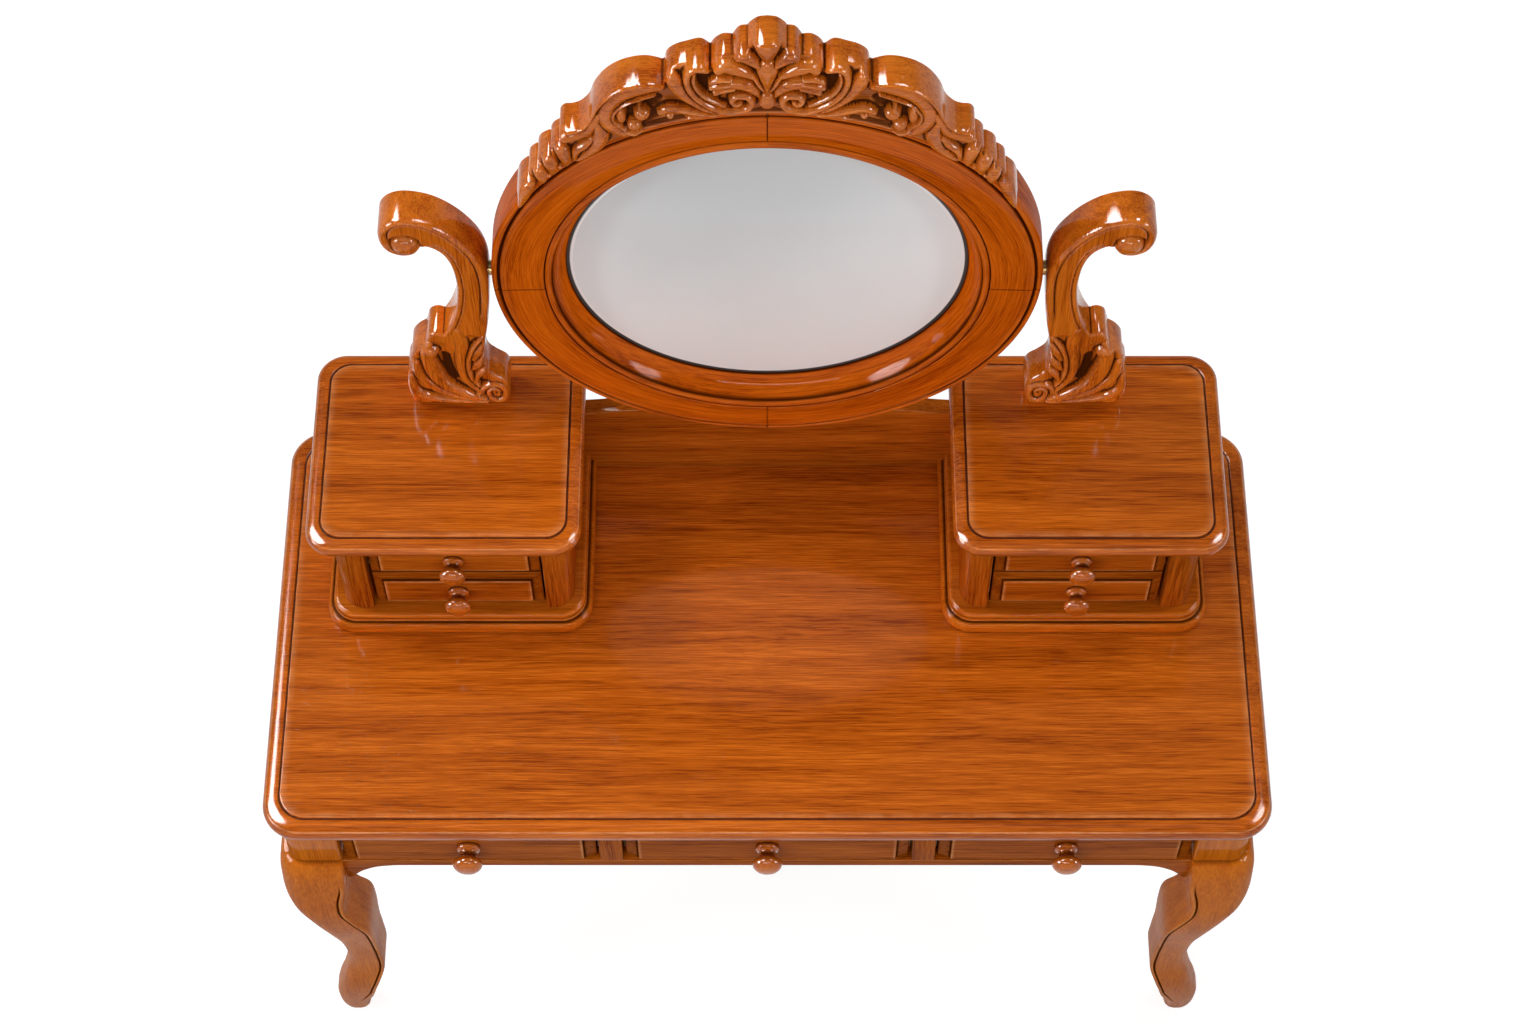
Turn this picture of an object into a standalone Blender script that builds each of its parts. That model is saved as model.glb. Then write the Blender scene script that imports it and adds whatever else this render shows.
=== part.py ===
"""Dressing table with seven drawers, two pedestals and a tilting oval mirror under a carved crown.

Metres, +Z up, the front faces -Y. The origin is on the floor under the middle of the whole table.
Run it with blender --background --python part.py, or from the text editor.
"""
import math

import bmesh
import bpy
from mathutils import Matrix, Vector

# Clearances shared by all the joints
FIT_GAP = 0.0003
DRAWER_GAP = 0.0015
CUT_OVERRUN = 0.004
WELD_DISTANCE = 0.00002
EDGE_EASE = 0.00075

# Table top
TABLE_WIDTH = 1.200
TABLE_DEPTH = 0.556
TABLE_HEIGHT = 0.710
TOP_THICKNESS = 0.024
TOP_CORNER_RADIUS = 0.045
LIP_WIDTH = 0.019
LIP_DROP = 0.0015
GROOVE_WIDTH = 0.003
GROOVE_DEPTH = 0.0025
LIP_LOWER_ROUND_SHARE = 0.45
LIP_UPPER_ROUND_SHARE = 0.80
LIP_WIDEST_SHARE = 0.45

# Legs: a square post block at the top, then an S-shaped cabriole leg
POST_SIZE = 0.066
POST_SIDE_SETBACK = 0.018
POST_FRONT_SETBACK = 0.016
POST_CORNER_SHARE = 0.30
KNEE_SIZE = 0.080
KNEE_LEDGE = 0.0015
LEG_SWING = 0.024
LEG_CORNER_SHARE = 0.42
LEG_BACK_CORNER_SHARE = 0.14
LEG_ARRIS_SHARE = 0.05
# Height above the floor as a share of the leg below its post block, the inner corner's place
# towards the outside and the front as shares of the swing, and the thickness as a share of the knee
LEG_STATION_SHARES = [
    (0.998, 0.00, 0.00, 0.910),
    (0.969, 0.00, 0.08, 0.990),
    (0.918, 0.04, 0.29, 1.000),
    (0.867, 0.29, 0.75, 0.910),
    (0.816, 0.29, 1.12, 0.835),
    (0.762, -0.12, 1.04, 0.850),
    (0.697, -0.56, 0.74, 0.885),
    (0.612, -0.58, 0.62, 0.790),
    (0.527, -0.50, 0.64, 0.660),
    (0.442, -0.50, 0.56, 0.610),
    (0.357, -0.44, 0.50, 0.600),
    (0.281, 0.02, 0.72, 0.575),
    (0.221, 0.40, 0.70, 0.565),
    (0.162, 0.64, 0.38, 0.605),
    (0.119, 0.80, 0.14, 0.625),
    (0.077, 1.00, 0.05, 0.590),
    (0.037, 1.24, 0.08, 0.520),
    (0.010, 1.32, 0.14, 0.460),
    (0.000, 1.40, 0.26, 0.385),
]

# Rails, aprons and the board that the main drawers run on
RAIL_SETBACK = 0.018
RAIL_THICKNESS = 0.022
UPPER_RAIL_HEIGHT = 0.0097
LOWER_RAIL_HEIGHT = 0.016
MAIN_OPENING_HEIGHT = 0.088
APRON_INSET = 0.004
APRON_THICKNESS = 0.020
EAR_LENGTH = 0.075
EAR_DROP = 0.037
DIVIDER_WIDTH = 0.0275
CENTRE_OPENING_WIDTH = 0.350
DUST_BOARD_THICKNESS = 0.010
GUIDE_HEIGHT = 0.022
GUIDE_WIDTH = 0.020
# Lower edge of an apron by the leg: share of the ear's length from the leg, and of its drop
EAR_CURVE_SHARES = [
    (0.00, 1.00), (0.09, 0.96), (0.17, 0.72), (0.30, 0.42), (0.52, 0.14), (0.78, 0.02), (1.00, 0.0),
]

# Drawers
DRAWER_FRONT_THICKNESS = 0.018
DRAWER_WALL = 0.008
MAIN_FIELD_MARGIN = 0.017
SMALL_FIELD_MARGIN = 0.0125
BEVEL_DROP = 0.0050
FIELD_STEP = 0.0010
MAIN_BOX_TOP_GAP = 0.018
MAIN_BOX_REAR_GAP = 0.0396
SMALL_BOX_TOP_GAP = 0.016
SMALL_BOX_REAR_GAP = 0.0117

# Knobs: a flange, a waist and a flattened ball
MAIN_KNOB_DIAMETER = 0.036
MAIN_KNOB_LENGTH = 0.0345
SMALL_KNOB_DIAMETER = 0.032
SMALL_KNOB_LENGTH = 0.0305
KNOB_STEPS = 12
# Profile from the tip to the foot: share of the radius, and of the length
KNOB_PROFILE_SHARES = [
    (0.00, 1.00), (0.45, 0.98), (0.84, 0.87), (1.00, 0.71), (0.86, 0.55),
    (0.54, 0.42), (0.58, 0.20), (0.78, 0.14), (0.78, 0.00), (0.00, 0.00),
]

# Pedestals: the body, and how far its base and top stand out past it
PEDESTAL_SIDE_SETBACK = 0.086
PEDESTAL_REAR_SETBACK = 0.0325
PEDESTAL_BODY_DEPTH = 0.240
PEDESTAL_BODY_HEIGHT = 0.154
PEDESTAL_BASE_HEIGHT = 0.032
PEDESTAL_BASE_RADIUS = 0.036
BASE_PROJECTION = 0.0195
BASE_SIDE_PROJECTION = 0.0215
BASE_REAR_PROJECTION = 0.0105
PEDESTAL_OUTER_SIDE = 0.038
PEDESTAL_INNER_SIDE = 0.032
PEDESTAL_COLUMN_RADIUS = 0.025
PEDESTAL_BACK_THICKNESS = 0.012
PEDESTAL_SHELF_THICKNESS = 0.006
PEDESTAL_TOP_THICKNESS = 0.019
TOP_FRONT_OVERHANG = 0.0145
TOP_REAR_OVERHANG = 0.017
TOP_OUTER_OVERHANG = 0.0265
TOP_INNER_OVERHANG = 0.0165
PEDESTAL_TOP_RADIUS = 0.034
PEDESTAL_LIP_WIDTH = 0.016
SMALL_FRONT_RECESS = 0.003
# Two rolls one over the other: share of the projection, and of the height
BASE_PROFILE_SHARES = [
    (0.22, 0.00), (0.05, 0.10), (0.00, 0.30), (0.06, 0.49), (0.24, 0.60),
    (0.40, 0.62), (0.44, 0.68), (0.42, 0.80), (0.50, 0.94), (0.68, 1.00),
]

# Back panel between the pedestals
BACK_PANEL_REAR_SETBACK = 0.035
BACK_PANEL_THICKNESS = 0.021
BACK_PANEL_HEIGHT = 0.127
BACK_PANEL_CREST = 0.011
# Top edge from the middle to one end: share of the half width, and of the crest
BACK_PANEL_SHARES = [(0.0, 1.0), (0.35, 1.0), (0.58, 0.96), (0.75, 0.70), (0.88, 0.22), (1.0, 0.0)]

# Mirror: three ovals share a centre, which lies on the tilt axis
MIRROR_OVER_PANEL = 0.0097
MIRROR_BESIDE_PEDESTAL = 0.0405
MIRROR_REAR_SETBACK = 0.089
RING_DEPTH = 0.050
TILT_AXIS_DEPTH = 0.022
RING_HALF_WIDTH = 0.3085
RING_HALF_HEIGHT = 0.320
GROOVE_HALF_WIDTH = 0.2495
GROOVE_HALF_HEIGHT = 0.270
SIGHT_HALF_WIDTH = 0.2255
SIGHT_HALF_HEIGHT = 0.234
COVE_DEPTH = 0.027
GLASS_THICKNESS = 0.004
GLASS_REST = 0.008
BACKING_THICKNESS = 0.006
RING_SEGMENTS = 10
SIDE_SEAM_DROP = 0.014
# Frame section: share of the width from the inner oval out, and of the depth from the front back
FRAME_SECTION_SHARES = [
    (0.00, 1.00), (0.00, 0.04), (0.02, 0.00), (0.82, 0.00), (0.84, 0.06), (0.875, 0.085),
    (0.905, 0.03), (0.945, 0.005), (0.985, 0.05), (1.00, 0.14), (1.00, 0.97), (0.98, 1.00),
]
# Bead and cove of the inner moulding: share of the band from outside in, and of the cove's depth
MOULDING_SECTION_SHARES = [
    (0.00, 0.05), (0.07, 0.00), (0.22, -0.03), (0.34, 0.03), (0.38, 0.13),
    (0.46, 0.36), (0.60, 0.62), (0.78, 0.82), (1.00, 0.93),
]

# Tilt pivots
PIVOT_RADIUS = 0.005
PIVOT_GAP = 0.0045
PIVOT_IN_FRAME = 0.022
PIVOT_IN_SUPPORT = 0.024
COLLAR_RADIUS = 0.0085
COLLAR_THICKNESS = 0.0035
PIVOT_STEPS = 24
PIVOT_CLEARANCE = 0.0001

# Scroll supports, in shares of their width from the ring outwards and of their height
SUPPORT_WIDTH = 0.123
PIVOT_UP_SHARE = 0.6782
SUPPORT_THICKNESS = 0.040
SUPPORT_EDGE = 0.003
SUPPORT_RELIEF = 0.007
BOSS_RADIUS = 0.0175
BOSS_PLACE_SHARES = (0.765, 0.873)
BOSS_FLATTENING_SHARE = 0.7
LEAF_KNOB_RADIUS = 0.0115
LEAF_KNOB_PLACE_SHARES = (0.645, 0.352)
LEAF_KNOB_FLATTENING_SHARE = 0.8
PIVOT_FACE_SHARE = 0.069
SUPPORT_OUTLINE_SHARES = [
    [(0.82, 0.00), (0.10, 0.00)],
    [(0.06, 0.004), (0.012, 0.035), (0.00, 0.08), (0.03, 0.13), (0.12, 0.162), (0.195, 0.20), (0.205, 0.265),
     (0.175, 0.35), (0.13, 0.44), (0.09, 0.54), (0.069, 0.65), (0.077, 0.73), (0.12, 0.80), (0.20, 0.862),
     (0.325, 0.924), (0.48, 0.972), (0.64, 0.996), (0.79, 1.0), (0.91, 0.98), (0.985, 0.94), (0.99, 0.895),
     (0.945, 0.855), (0.86, 0.832), (0.765, 0.826), (0.675, 0.838), (0.62, 0.858)],
    [(0.58, 0.862), (0.51, 0.850), (0.44, 0.820), (0.39, 0.772), (0.366, 0.712), (0.362, 0.635), (0.40, 0.536),
     (0.47, 0.453), (0.55, 0.396)],
    [(0.565, 0.398), (0.62, 0.404), (0.69, 0.390), (0.725, 0.355)],
    [(0.745, 0.330), (0.82, 0.308), (0.885, 0.272), (0.90, 0.235)],
    [(0.905, 0.205), (0.955, 0.165), (0.975, 0.10), (0.955, 0.035), (0.895, 0.004)],
]
# Carved bars of a support: path in the same shares, and radii in shares of the relief
SUPPORT_BAR_SHARES = [
    [(0.66, 0.862, 0.35), (0.50, 0.835, 0.70), (0.385, 0.785, 0.80), (0.325, 0.710, 0.80), (0.315, 0.635, 0.80),
     (0.345, 0.545, 0.80), (0.41, 0.455, 0.75), (0.48, 0.395, 0.60), (0.53, 0.350, 0.30)],
    [(0.415, 0.350, 0.40), (0.385, 0.265, 0.85), (0.335, 0.180, 1.00), (0.265, 0.115, 0.70)],
    [(0.655, 0.330, 0.80), (0.600, 0.240, 1.00), (0.500, 0.160, 1.00), (0.360, 0.098, 0.80),
     (0.245, 0.055, 0.60)],
    [(0.845, 0.262, 0.90), (0.770, 0.185, 1.00), (0.600, 0.115, 0.85), (0.385, 0.060, 0.50)],
    [(0.890, 0.120, 1.00), (0.820, 0.062, 1.05), (0.600, 0.036, 0.80), (0.310, 0.030, 0.50)],
    [(0.200, 0.385, 0.40), (0.265, 0.345, 0.80), (0.320, 0.300, 0.80)],
    [(0.190, 0.315, 0.55), (0.255, 0.280, 0.80), (0.320, 0.245, 0.75)],
    [(0.190, 0.258, 0.55), (0.250, 0.230, 0.75), (0.310, 0.202, 0.70)],
    [(0.170, 0.208, 0.55), (0.225, 0.185, 0.70), (0.275, 0.165, 0.65)],
]
VOLUTE_CENTRE_SHARES = (0.175, 0.080)
VOLUTE_RADIUS = 0.0150
VOLUTE_TURNS = 1.3
VOLUTE_STEPS = 11
# Inner end of the spiral as a share of its radius, and its bar's thickness outside and inside
VOLUTE_EYE_SHARE = 0.28
VOLUTE_BAR_OUTER_SHARE = 0.62
VOLUTE_BAR_INNER_SHARE = 0.50

# Crown: angle from the top of the frame in degrees, and rise as a share, from an oval inside its rim
CROWN_RISE = 0.1350
CROWN_DATUM_INSET = 0.0065
CROWN_THICKNESS = 0.036
CROWN_PROUD = 0.0095
CROWN_EDGE = 0.0020
CROWN_RELIEF = 0.0070
CROWN_OUTLINE_SHARES = [
    [(0.0, 1.000), (1.3, 0.985), (2.4, 0.925)],
    [(2.7, 0.895), (3.8, 0.885), (4.7, 0.815)],
    [(4.9, 0.795), (6.2, 0.805), (7.5, 0.760), (8.3, 0.700)],
    [(8.6, 0.715), (9.6, 0.775), (11.5, 0.762), (13.4, 0.740), (14.9, 0.690), (15.8, 0.605)],
    [(16.2, 0.595), (18.5, 0.675), (21.8, 0.690), (25.0, 0.645), (28.2, 0.545), (30.6, 0.440), (32.9, 0.395),
     (34.5, 0.400), (35.8, 0.430), (37.2, 0.405), (38.2, 0.340)],
    [(38.7, 0.310), (40.3, 0.312), (41.8, 0.285), (42.4, 0.245)],
    [(42.9, 0.265), (44.6, 0.272), (46.2, 0.245), (46.9, 0.205)],
    [(47.4, 0.220), (49.0, 0.222), (50.6, 0.190), (51.2, 0.150)],
    [(51.8, 0.168), (54.0, 0.172), (56.5, 0.138), (58.5, 0.088), (60.0, 0.056)],
]
# Carved bars of the left half: angle, rise share and radius share of the relief
CROWN_BAR_SHARES = [
    [(8.9, 0.730, 0.45), (10.2, 0.740, 0.75), (11.9, 0.670, 0.90), (12.7, 0.545, 0.95), (12.3, 0.400, 0.95),
     (10.9, 0.280, 0.90), (8.9, 0.185, 0.90), (6.2, 0.135, 0.85), (3.9, 0.160, 0.80), (2.9, 0.250, 0.75),
     (3.4, 0.335, 0.75), (5.0, 0.375, 0.75), (6.2, 0.330, 0.75), (5.6, 0.260, 0.80)],
    [(0.0, 0.640, 0.90), (0.0, 0.560, 1.15), (0.0, 0.380, 0.45)],
    [(2.2, 0.590, 0.75), (1.6, 0.480, 0.55), (1.0, 0.360, 0.30)],
    [(1.2, 0.720, 0.50), (2.8, 0.790, 0.85), (4.2, 0.790, 0.80)],
    [(2.9, 0.590, 0.55), (5.0, 0.690, 0.90), (7.2, 0.710, 0.80)],
    [(1.8, 0.370, 0.50), (3.6, 0.500, 0.90), (6.2, 0.565, 1.00), (8.2, 0.520, 0.80), (8.4, 0.440, 0.60)],
    [(14.8, 0.620, 0.70), (15.0, 0.480, 0.85), (13.6, 0.330, 0.55), (11.4, 0.190, 0.35)],
    [(12.0, 0.160, 0.40), (16.0, 0.260, 0.80), (20.0, 0.370, 1.05), (24.0, 0.430, 1.15), (27.6, 0.370, 1.10),
     (29.7, 0.250, 1.00), (29.4, 0.120, 0.75), (27.6, 0.070, 0.50)],
    [(19.0, 0.560, 0.60), (24.0, 0.570, 0.90), (28.2, 0.460, 0.95), (31.6, 0.335, 0.95), (34.4, 0.310, 0.95),
     (36.4, 0.330, 0.85)],
    [(30.8, 0.330, 0.35), (32.6, 0.220, 0.80), (35.2, 0.120, 1.00), (38.4, 0.065, 0.80), (41.2, 0.090, 0.50)],
    [(14.6, 0.080, 0.35), (17.4, 0.170, 0.60), (19.6, 0.240, 0.50)],
    [(39.9, 0.260, 0.90), (41.2, 0.150, 0.85)],
    [(43.9, 0.210, 0.90), (45.2, 0.110, 0.85)],
    [(48.2, 0.165, 0.90), (49.4, 0.075, 0.80)],
    [(52.8, 0.125, 0.95), (55.0, 0.085, 0.90)],
]
# Lower edge of the crown's raised front, which stands clear of the frame's bead
CROWN_LOW_EDGE_SHARES = [
    (0.0, 0.168), (5.0, 0.100), (8.7, 0.124), (12.3, 0.139), (19.8, 0.154), (24.3, 0.109), (29.2, 0.064),
    (36.0, 0.060), (43.5, 0.080), (52.0, 0.055), (61.0, 0.030),
]
# Carved balls: angle, rise share and radius share of the relief
CROWN_BALL_SHARES = [(0.0, 0.270, 1.20), (21.6, 0.235, 1.30), (25.4, 0.130, 1.15), (46.4, 0.095, 0.75)]
CROWN_BALL_FLATTENING_SHARE = 0.9
CROWN_SEAT_END_DEGREES = 59

# Carved bars and balls: how deep they sit in their board, and their rounded tips
BAR_SINK_SHARE = 0.25
BAR_TIP_REACH_SHARE = 0.8
BAR_TIP_WIDTH_SHARE = 0.55

# Mesh steps, and the angles in degrees up to which shading runs smooth over an edge
CORNER_STEPS = 4
CURVE_STEPS = 3
SUPPORT_OUTLINE_STEPS = 2
CROWN_OUTLINE_STEPS = 1
CROWN_LOW_EDGE_STEPS = 2
TABLE_LIP_STEPS = 4
PEDESTAL_LIP_STEPS = 3
BALL_SEGMENTS = 10
BALL_RINGS = 6
SMOOTH_ANGLE = 35
DRAWER_SMOOTH_ANGLE = 20
LEG_SMOOTH_ANGLE = 50
BASE_SMOOTH_ANGLE = 60

# Finishes: colour, roughness, metallic
FINISHES = {
    "lacquered_wood": ((0.52, 0.17, 0.03), 0.22, 0.0),
    "drawer_wood": ((0.72, 0.50, 0.28), 0.55, 0.0),
    "mirror_glass": ((0.86, 0.87, 0.88), 0.03, 1.0),
    "backing_wood": ((0.42, 0.25, 0.12), 0.65, 0.0),
    "brass": ((0.72, 0.52, 0.22), 0.30, 1.0),
}

# Places worked out from the sizes above
KNOB_PAST_LIP = MAIN_KNOB_LENGTH - RAIL_SETBACK
LIP_Y = -(TABLE_DEPTH - KNOB_PAST_LIP) / 2
REAR_Y = LIP_Y + TABLE_DEPTH
TOP_UNDERSIDE = TABLE_HEIGHT - TOP_THICKNESS
OPENING_TOP = TOP_UNDERSIDE - FIT_GAP - UPPER_RAIL_HEIGHT
OPENING_BOTTOM = OPENING_TOP - MAIN_OPENING_HEIGHT
APRON_BOTTOM = OPENING_BOTTOM - LOWER_RAIL_HEIGHT
POST_INNER_X = TABLE_WIDTH / 2 - POST_SIDE_SETBACK - POST_SIZE
POST_BACK_Y = LIP_Y + POST_FRONT_SETBACK + POST_SIZE
REAR_POST_FRONT_Y = REAR_Y - POST_FRONT_SETBACK - POST_SIZE
RAIL_Y = LIP_Y + RAIL_SETBACK
APRON_REAR_Y = REAR_Y - POST_FRONT_SETBACK - APRON_INSET - APRON_THICKNESS
APRON_SIDE_X = TABLE_WIDTH / 2 - POST_SIDE_SETBACK - APRON_INSET - APRON_THICKNESS
DIVIDER_X = CENTRE_OPENING_WIDTH / 2 + DIVIDER_WIDTH / 2
SIDE_OPENING_WIDTH = POST_INNER_X - CENTRE_OPENING_WIDTH / 2 - DIVIDER_WIDTH
SIDE_OPENING_X = POST_INNER_X - SIDE_OPENING_WIDTH / 2

MAIN_BOX_HEIGHT = MAIN_OPENING_HEIGHT - MAIN_BOX_TOP_GAP
MAIN_BOX_LENGTH = APRON_REAR_Y - MAIN_BOX_REAR_GAP - RAIL_Y - DRAWER_FRONT_THICKNESS - FIT_GAP

BODY_BOTTOM = TABLE_HEIGHT + FIT_GAP + PEDESTAL_BASE_HEIGHT + FIT_GAP
BODY_TOP = BODY_BOTTOM + PEDESTAL_BODY_HEIGHT
PEDESTAL_TOP_UNDERSIDE = BODY_TOP + FIT_GAP
PEDESTAL_TOP_PLANE = PEDESTAL_TOP_UNDERSIDE + PEDESTAL_TOP_THICKNESS

MIRROR_Y = REAR_Y - MIRROR_REAR_SETBACK
PIVOT_Y = MIRROR_Y + TILT_AXIS_DEPTH
PANEL_TOP = TABLE_HEIGHT + FIT_GAP + BACK_PANEL_HEIGHT + BACK_PANEL_CREST
PIVOT_Z = PANEL_TOP + MIRROR_OVER_PANEL + RING_HALF_HEIGHT
SUPPORT_BOTTOM = PEDESTAL_TOP_PLANE + FIT_GAP
SUPPORT_HEIGHT = (PIVOT_Z - SUPPORT_BOTTOM) / PIVOT_UP_SHARE
SUPPORT_INNER_X = RING_HALF_WIDTH + PIVOT_GAP - PIVOT_FACE_SHARE * SUPPORT_WIDTH

# The bay between the pedestals clears the oval of the frame at the height of their tops
RING_DROP_SHARE = (PIVOT_Z - PEDESTAL_TOP_PLANE) / RING_HALF_HEIGHT
TOP_INNER_X = RING_HALF_WIDTH * math.sqrt(1 - RING_DROP_SHARE ** 2) + MIRROR_BESIDE_PEDESTAL
BODY_OUTER_X = TABLE_WIDTH / 2 - PEDESTAL_SIDE_SETBACK
BODY_INNER_X = TOP_INNER_X + TOP_INNER_OVERHANG
BODY_Y = REAR_Y - PEDESTAL_REAR_SETBACK - PEDESTAL_BODY_DEPTH
BASE_INNER_X = BODY_INNER_X - BASE_SIDE_PROJECTION
BASE_WIDTH = BODY_OUTER_X + BASE_SIDE_PROJECTION - BASE_INNER_X
BASE_DEPTH = BASE_PROJECTION + PEDESTAL_BODY_DEPTH + BASE_REAR_PROJECTION
PEDESTAL_TOP_WIDTH = BODY_OUTER_X + TOP_OUTER_OVERHANG - TOP_INNER_X
PEDESTAL_TOP_DEPTH = TOP_FRONT_OVERHANG + PEDESTAL_BODY_DEPTH + TOP_REAR_OVERHANG
SMALL_OPENING_OUTER_X = BODY_OUTER_X - PEDESTAL_OUTER_SIDE
SMALL_OPENING_INNER_X = BODY_INNER_X + PEDESTAL_INNER_SIDE
SMALL_OPENING_WIDTH = SMALL_OPENING_OUTER_X - SMALL_OPENING_INNER_X
SMALL_OPENING_X = (SMALL_OPENING_OUTER_X + SMALL_OPENING_INNER_X) / 2
SHELF_BOTTOM = (BODY_BOTTOM + BODY_TOP - PEDESTAL_SHELF_THICKNESS) / 2
PEDESTAL_BACK_Y = BODY_Y + PEDESTAL_BODY_DEPTH - PEDESTAL_BACK_THICKNESS
SMALL_BOX_HEIGHT = (PEDESTAL_BODY_HEIGHT - PEDESTAL_SHELF_THICKNESS) / 2 - SMALL_BOX_TOP_GAP
SMALL_FRONT_Y = BODY_Y + SMALL_FRONT_RECESS
SMALL_BOX_LENGTH = PEDESTAL_BACK_Y - SMALL_BOX_REAR_GAP - SMALL_FRONT_Y - DRAWER_FRONT_THICKNESS - FIT_GAP
BACK_PANEL_Y = REAR_Y - BACK_PANEL_REAR_SETBACK - BACK_PANEL_THICKNESS

FACING_FRONT = (math.pi / 2, 0.0, 0.0)
UPRIGHT = (0.0, 0.0, 0.0)


def clear_scene():
    """Remove every object of the scene."""
    for item in list(bpy.data.objects):
        bpy.data.objects.remove(item, do_unlink=True)


def new_collection(name):
    """Make a collection under the scene's own."""
    collection = bpy.data.collections.new(name)
    bpy.context.scene.collection.children.link(collection)
    return collection


def finish(item, kind):
    """Give an object its own material of one of the table's finishes."""
    colour, roughness, metallic = FINISHES[kind]
    material = bpy.data.materials.new(item.name + "_" + kind)
    material.use_nodes = True
    shader = material.node_tree.nodes["Principled BSDF"]
    shader.inputs["Base Color"].default_value = (*colour, 1.0)
    shader.inputs["Roughness"].default_value = roughness
    shader.inputs["Metallic"].default_value = metallic
    item.data.materials.clear()
    item.data.materials.append(material)


def place(name, mesh, kind, location, rotation=UPRIGHT, parent=None, smooth_angle=SMOOTH_ANGLE):
    """Make a named part from a mesh, at its place, with its finish."""
    item = bpy.data.objects.new(name, mesh)
    mesh.name = name
    PARTS.objects.link(item)
    item.location = location
    item.rotation_euler = rotation
    item.parent = parent
    finish(item, kind)
    mesh.shade_smooth()
    mesh.set_sharp_from_angle(angle=math.radians(smooth_angle))
    return item


def place_mirrored(name, original, kind):
    """Make the opposite-hand copy of a part about the table's middle plane."""
    mesh = original.data.copy()
    mesh.transform(Matrix.Scale(-1, 4, (1, 0, 0)))
    mesh.flip_normals()
    location = (-original.location.x, original.location.y, original.location.z)
    item = place(name, mesh, kind, location, original.rotation_euler, original.parent)
    for modifier in original.modifiers:
        add_cut(item, mirrored_cutter(modifier.object))
    return item


def mirrored_cutter(cutter):
    """Copy a cutter to the other side of the table's middle plane."""
    copy = cutter.copy()
    copy.data = cutter.data.copy()
    copy.data.transform(Matrix.Scale(-1, 4, (1, 0, 0)))
    copy.data.flip_normals()
    copy.location.x = -cutter.location.x
    CUTTERS.objects.link(copy)
    return copy


def add_cut(item, cutter):
    """Cut a part with a wire-shown cutter that stays in the file."""
    cutter.hide_render = True
    cutter.display_type = "WIRE"
    modifier = item.modifiers.new("cut_" + cutter.name, "BOOLEAN")
    modifier.operation = "DIFFERENCE"
    modifier.solver = "EXACT"
    modifier.object = cutter


def mesh_from(bm, name):
    """Turn a working mesh into a datablock, with all faces pointing out."""
    bmesh.ops.recalc_face_normals(bm, faces=bm.faces)
    mesh = bpy.data.meshes.new(name)
    bm.to_mesh(mesh)
    bm.free()
    return mesh


def box_mesh(name, low, high):
    """Box between two corners."""
    bm = bmesh.new()
    bmesh.ops.create_cube(bm, size=1.0)
    size = Vector(high) - Vector(low)
    middle = (Vector(high) + Vector(low)) / 2
    bmesh.ops.scale(bm, vec=size, verts=bm.verts)
    bmesh.ops.translate(bm, vec=middle, verts=bm.verts)
    return mesh_from(bm, name)


def eased_box(name, low, high, edge):
    """Box with its edges eased by a small bevel."""
    bm = bmesh.new()
    bm.from_mesh(box_mesh(name, low, high))
    bmesh.ops.bevel(bm, geom=bm.edges, offset=edge, segments=1, profile=0.5, affect="EDGES")
    return mesh_from(bm, name)


def loft_mesh(name, rings, around=False):
    """Skin a row of rings that have the same number of points, capped unless it closes on itself."""
    bm = bmesh.new()
    rows = [[bm.verts.new(point) for point in ring] for ring in rings]
    pairs = list(zip(rows, rows[1:]))
    if around:
        pairs.append((rows[-1], rows[0]))
    count = len(rows[0])
    for lower, upper in pairs:
        for index in range(count):
            after = (index + 1) % count
            bm.faces.new((lower[index], lower[after], upper[after], upper[index]))
    if not around:
        bm.faces.new(rows[0])
        bm.faces.new(rows[-1])
    return mesh_from(bm, name)


def rounded_rectangle(width, depth, radius, height):
    """Ring of points round a rectangle with round corners, centred on the origin."""
    points = []
    for corner, (x_side, y_side) in enumerate([(1, -1), (1, 1), (-1, 1), (-1, -1)]):
        centre_x = x_side * (width / 2 - radius)
        centre_y = y_side * (depth / 2 - radius)
        for step in range(CORNER_STEPS + 1):
            angle = math.radians(90 * (corner - 1) + 90 * step / CORNER_STEPS)
            points.append((centre_x + radius * math.cos(angle), centre_y + radius * math.sin(angle), height))
    return points


def moulded_board(name, width, depth, radius, profile):
    """Board whose edge follows a moulding, given as inset and height pairs from the underside up."""
    deepest = max(inset for inset, height in profile)
    tightest = radius - deepest * radius / (radius + deepest)
    rings = []
    for inset, height in profile:
        corner = radius + (tightest - radius) * inset / deepest
        rings.append(rounded_rectangle(width - 2 * inset, depth - 2 * inset, corner, height))
    return loft_mesh(name, rings)


def lipped_profile(thickness, lip_width, steps):
    """Rounded lip, then a fine groove, then the flat field."""
    widest = thickness * LIP_WIDEST_SHARE
    lower_round = lip_width * LIP_LOWER_ROUND_SHARE
    upper_round = lip_width * LIP_UPPER_ROUND_SHARE
    crown = thickness - LIP_DROP
    profile = []
    for step in range(steps):
        angle = math.pi / 2 * step / steps
        profile.append((lower_round * (1 - math.sin(angle)), widest * (1 - math.cos(angle))))
    for step in range(steps + 1):
        angle = math.pi / 2 * step / steps
        profile.append((upper_round * (1 - math.cos(angle)), widest + (crown - widest) * math.sin(angle)))
    profile.append((lip_width, crown))
    profile.append((lip_width + GROOVE_WIDTH / 2, thickness - GROOVE_DEPTH))
    profile.append((lip_width + GROOVE_WIDTH, thickness))
    return profile


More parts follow.
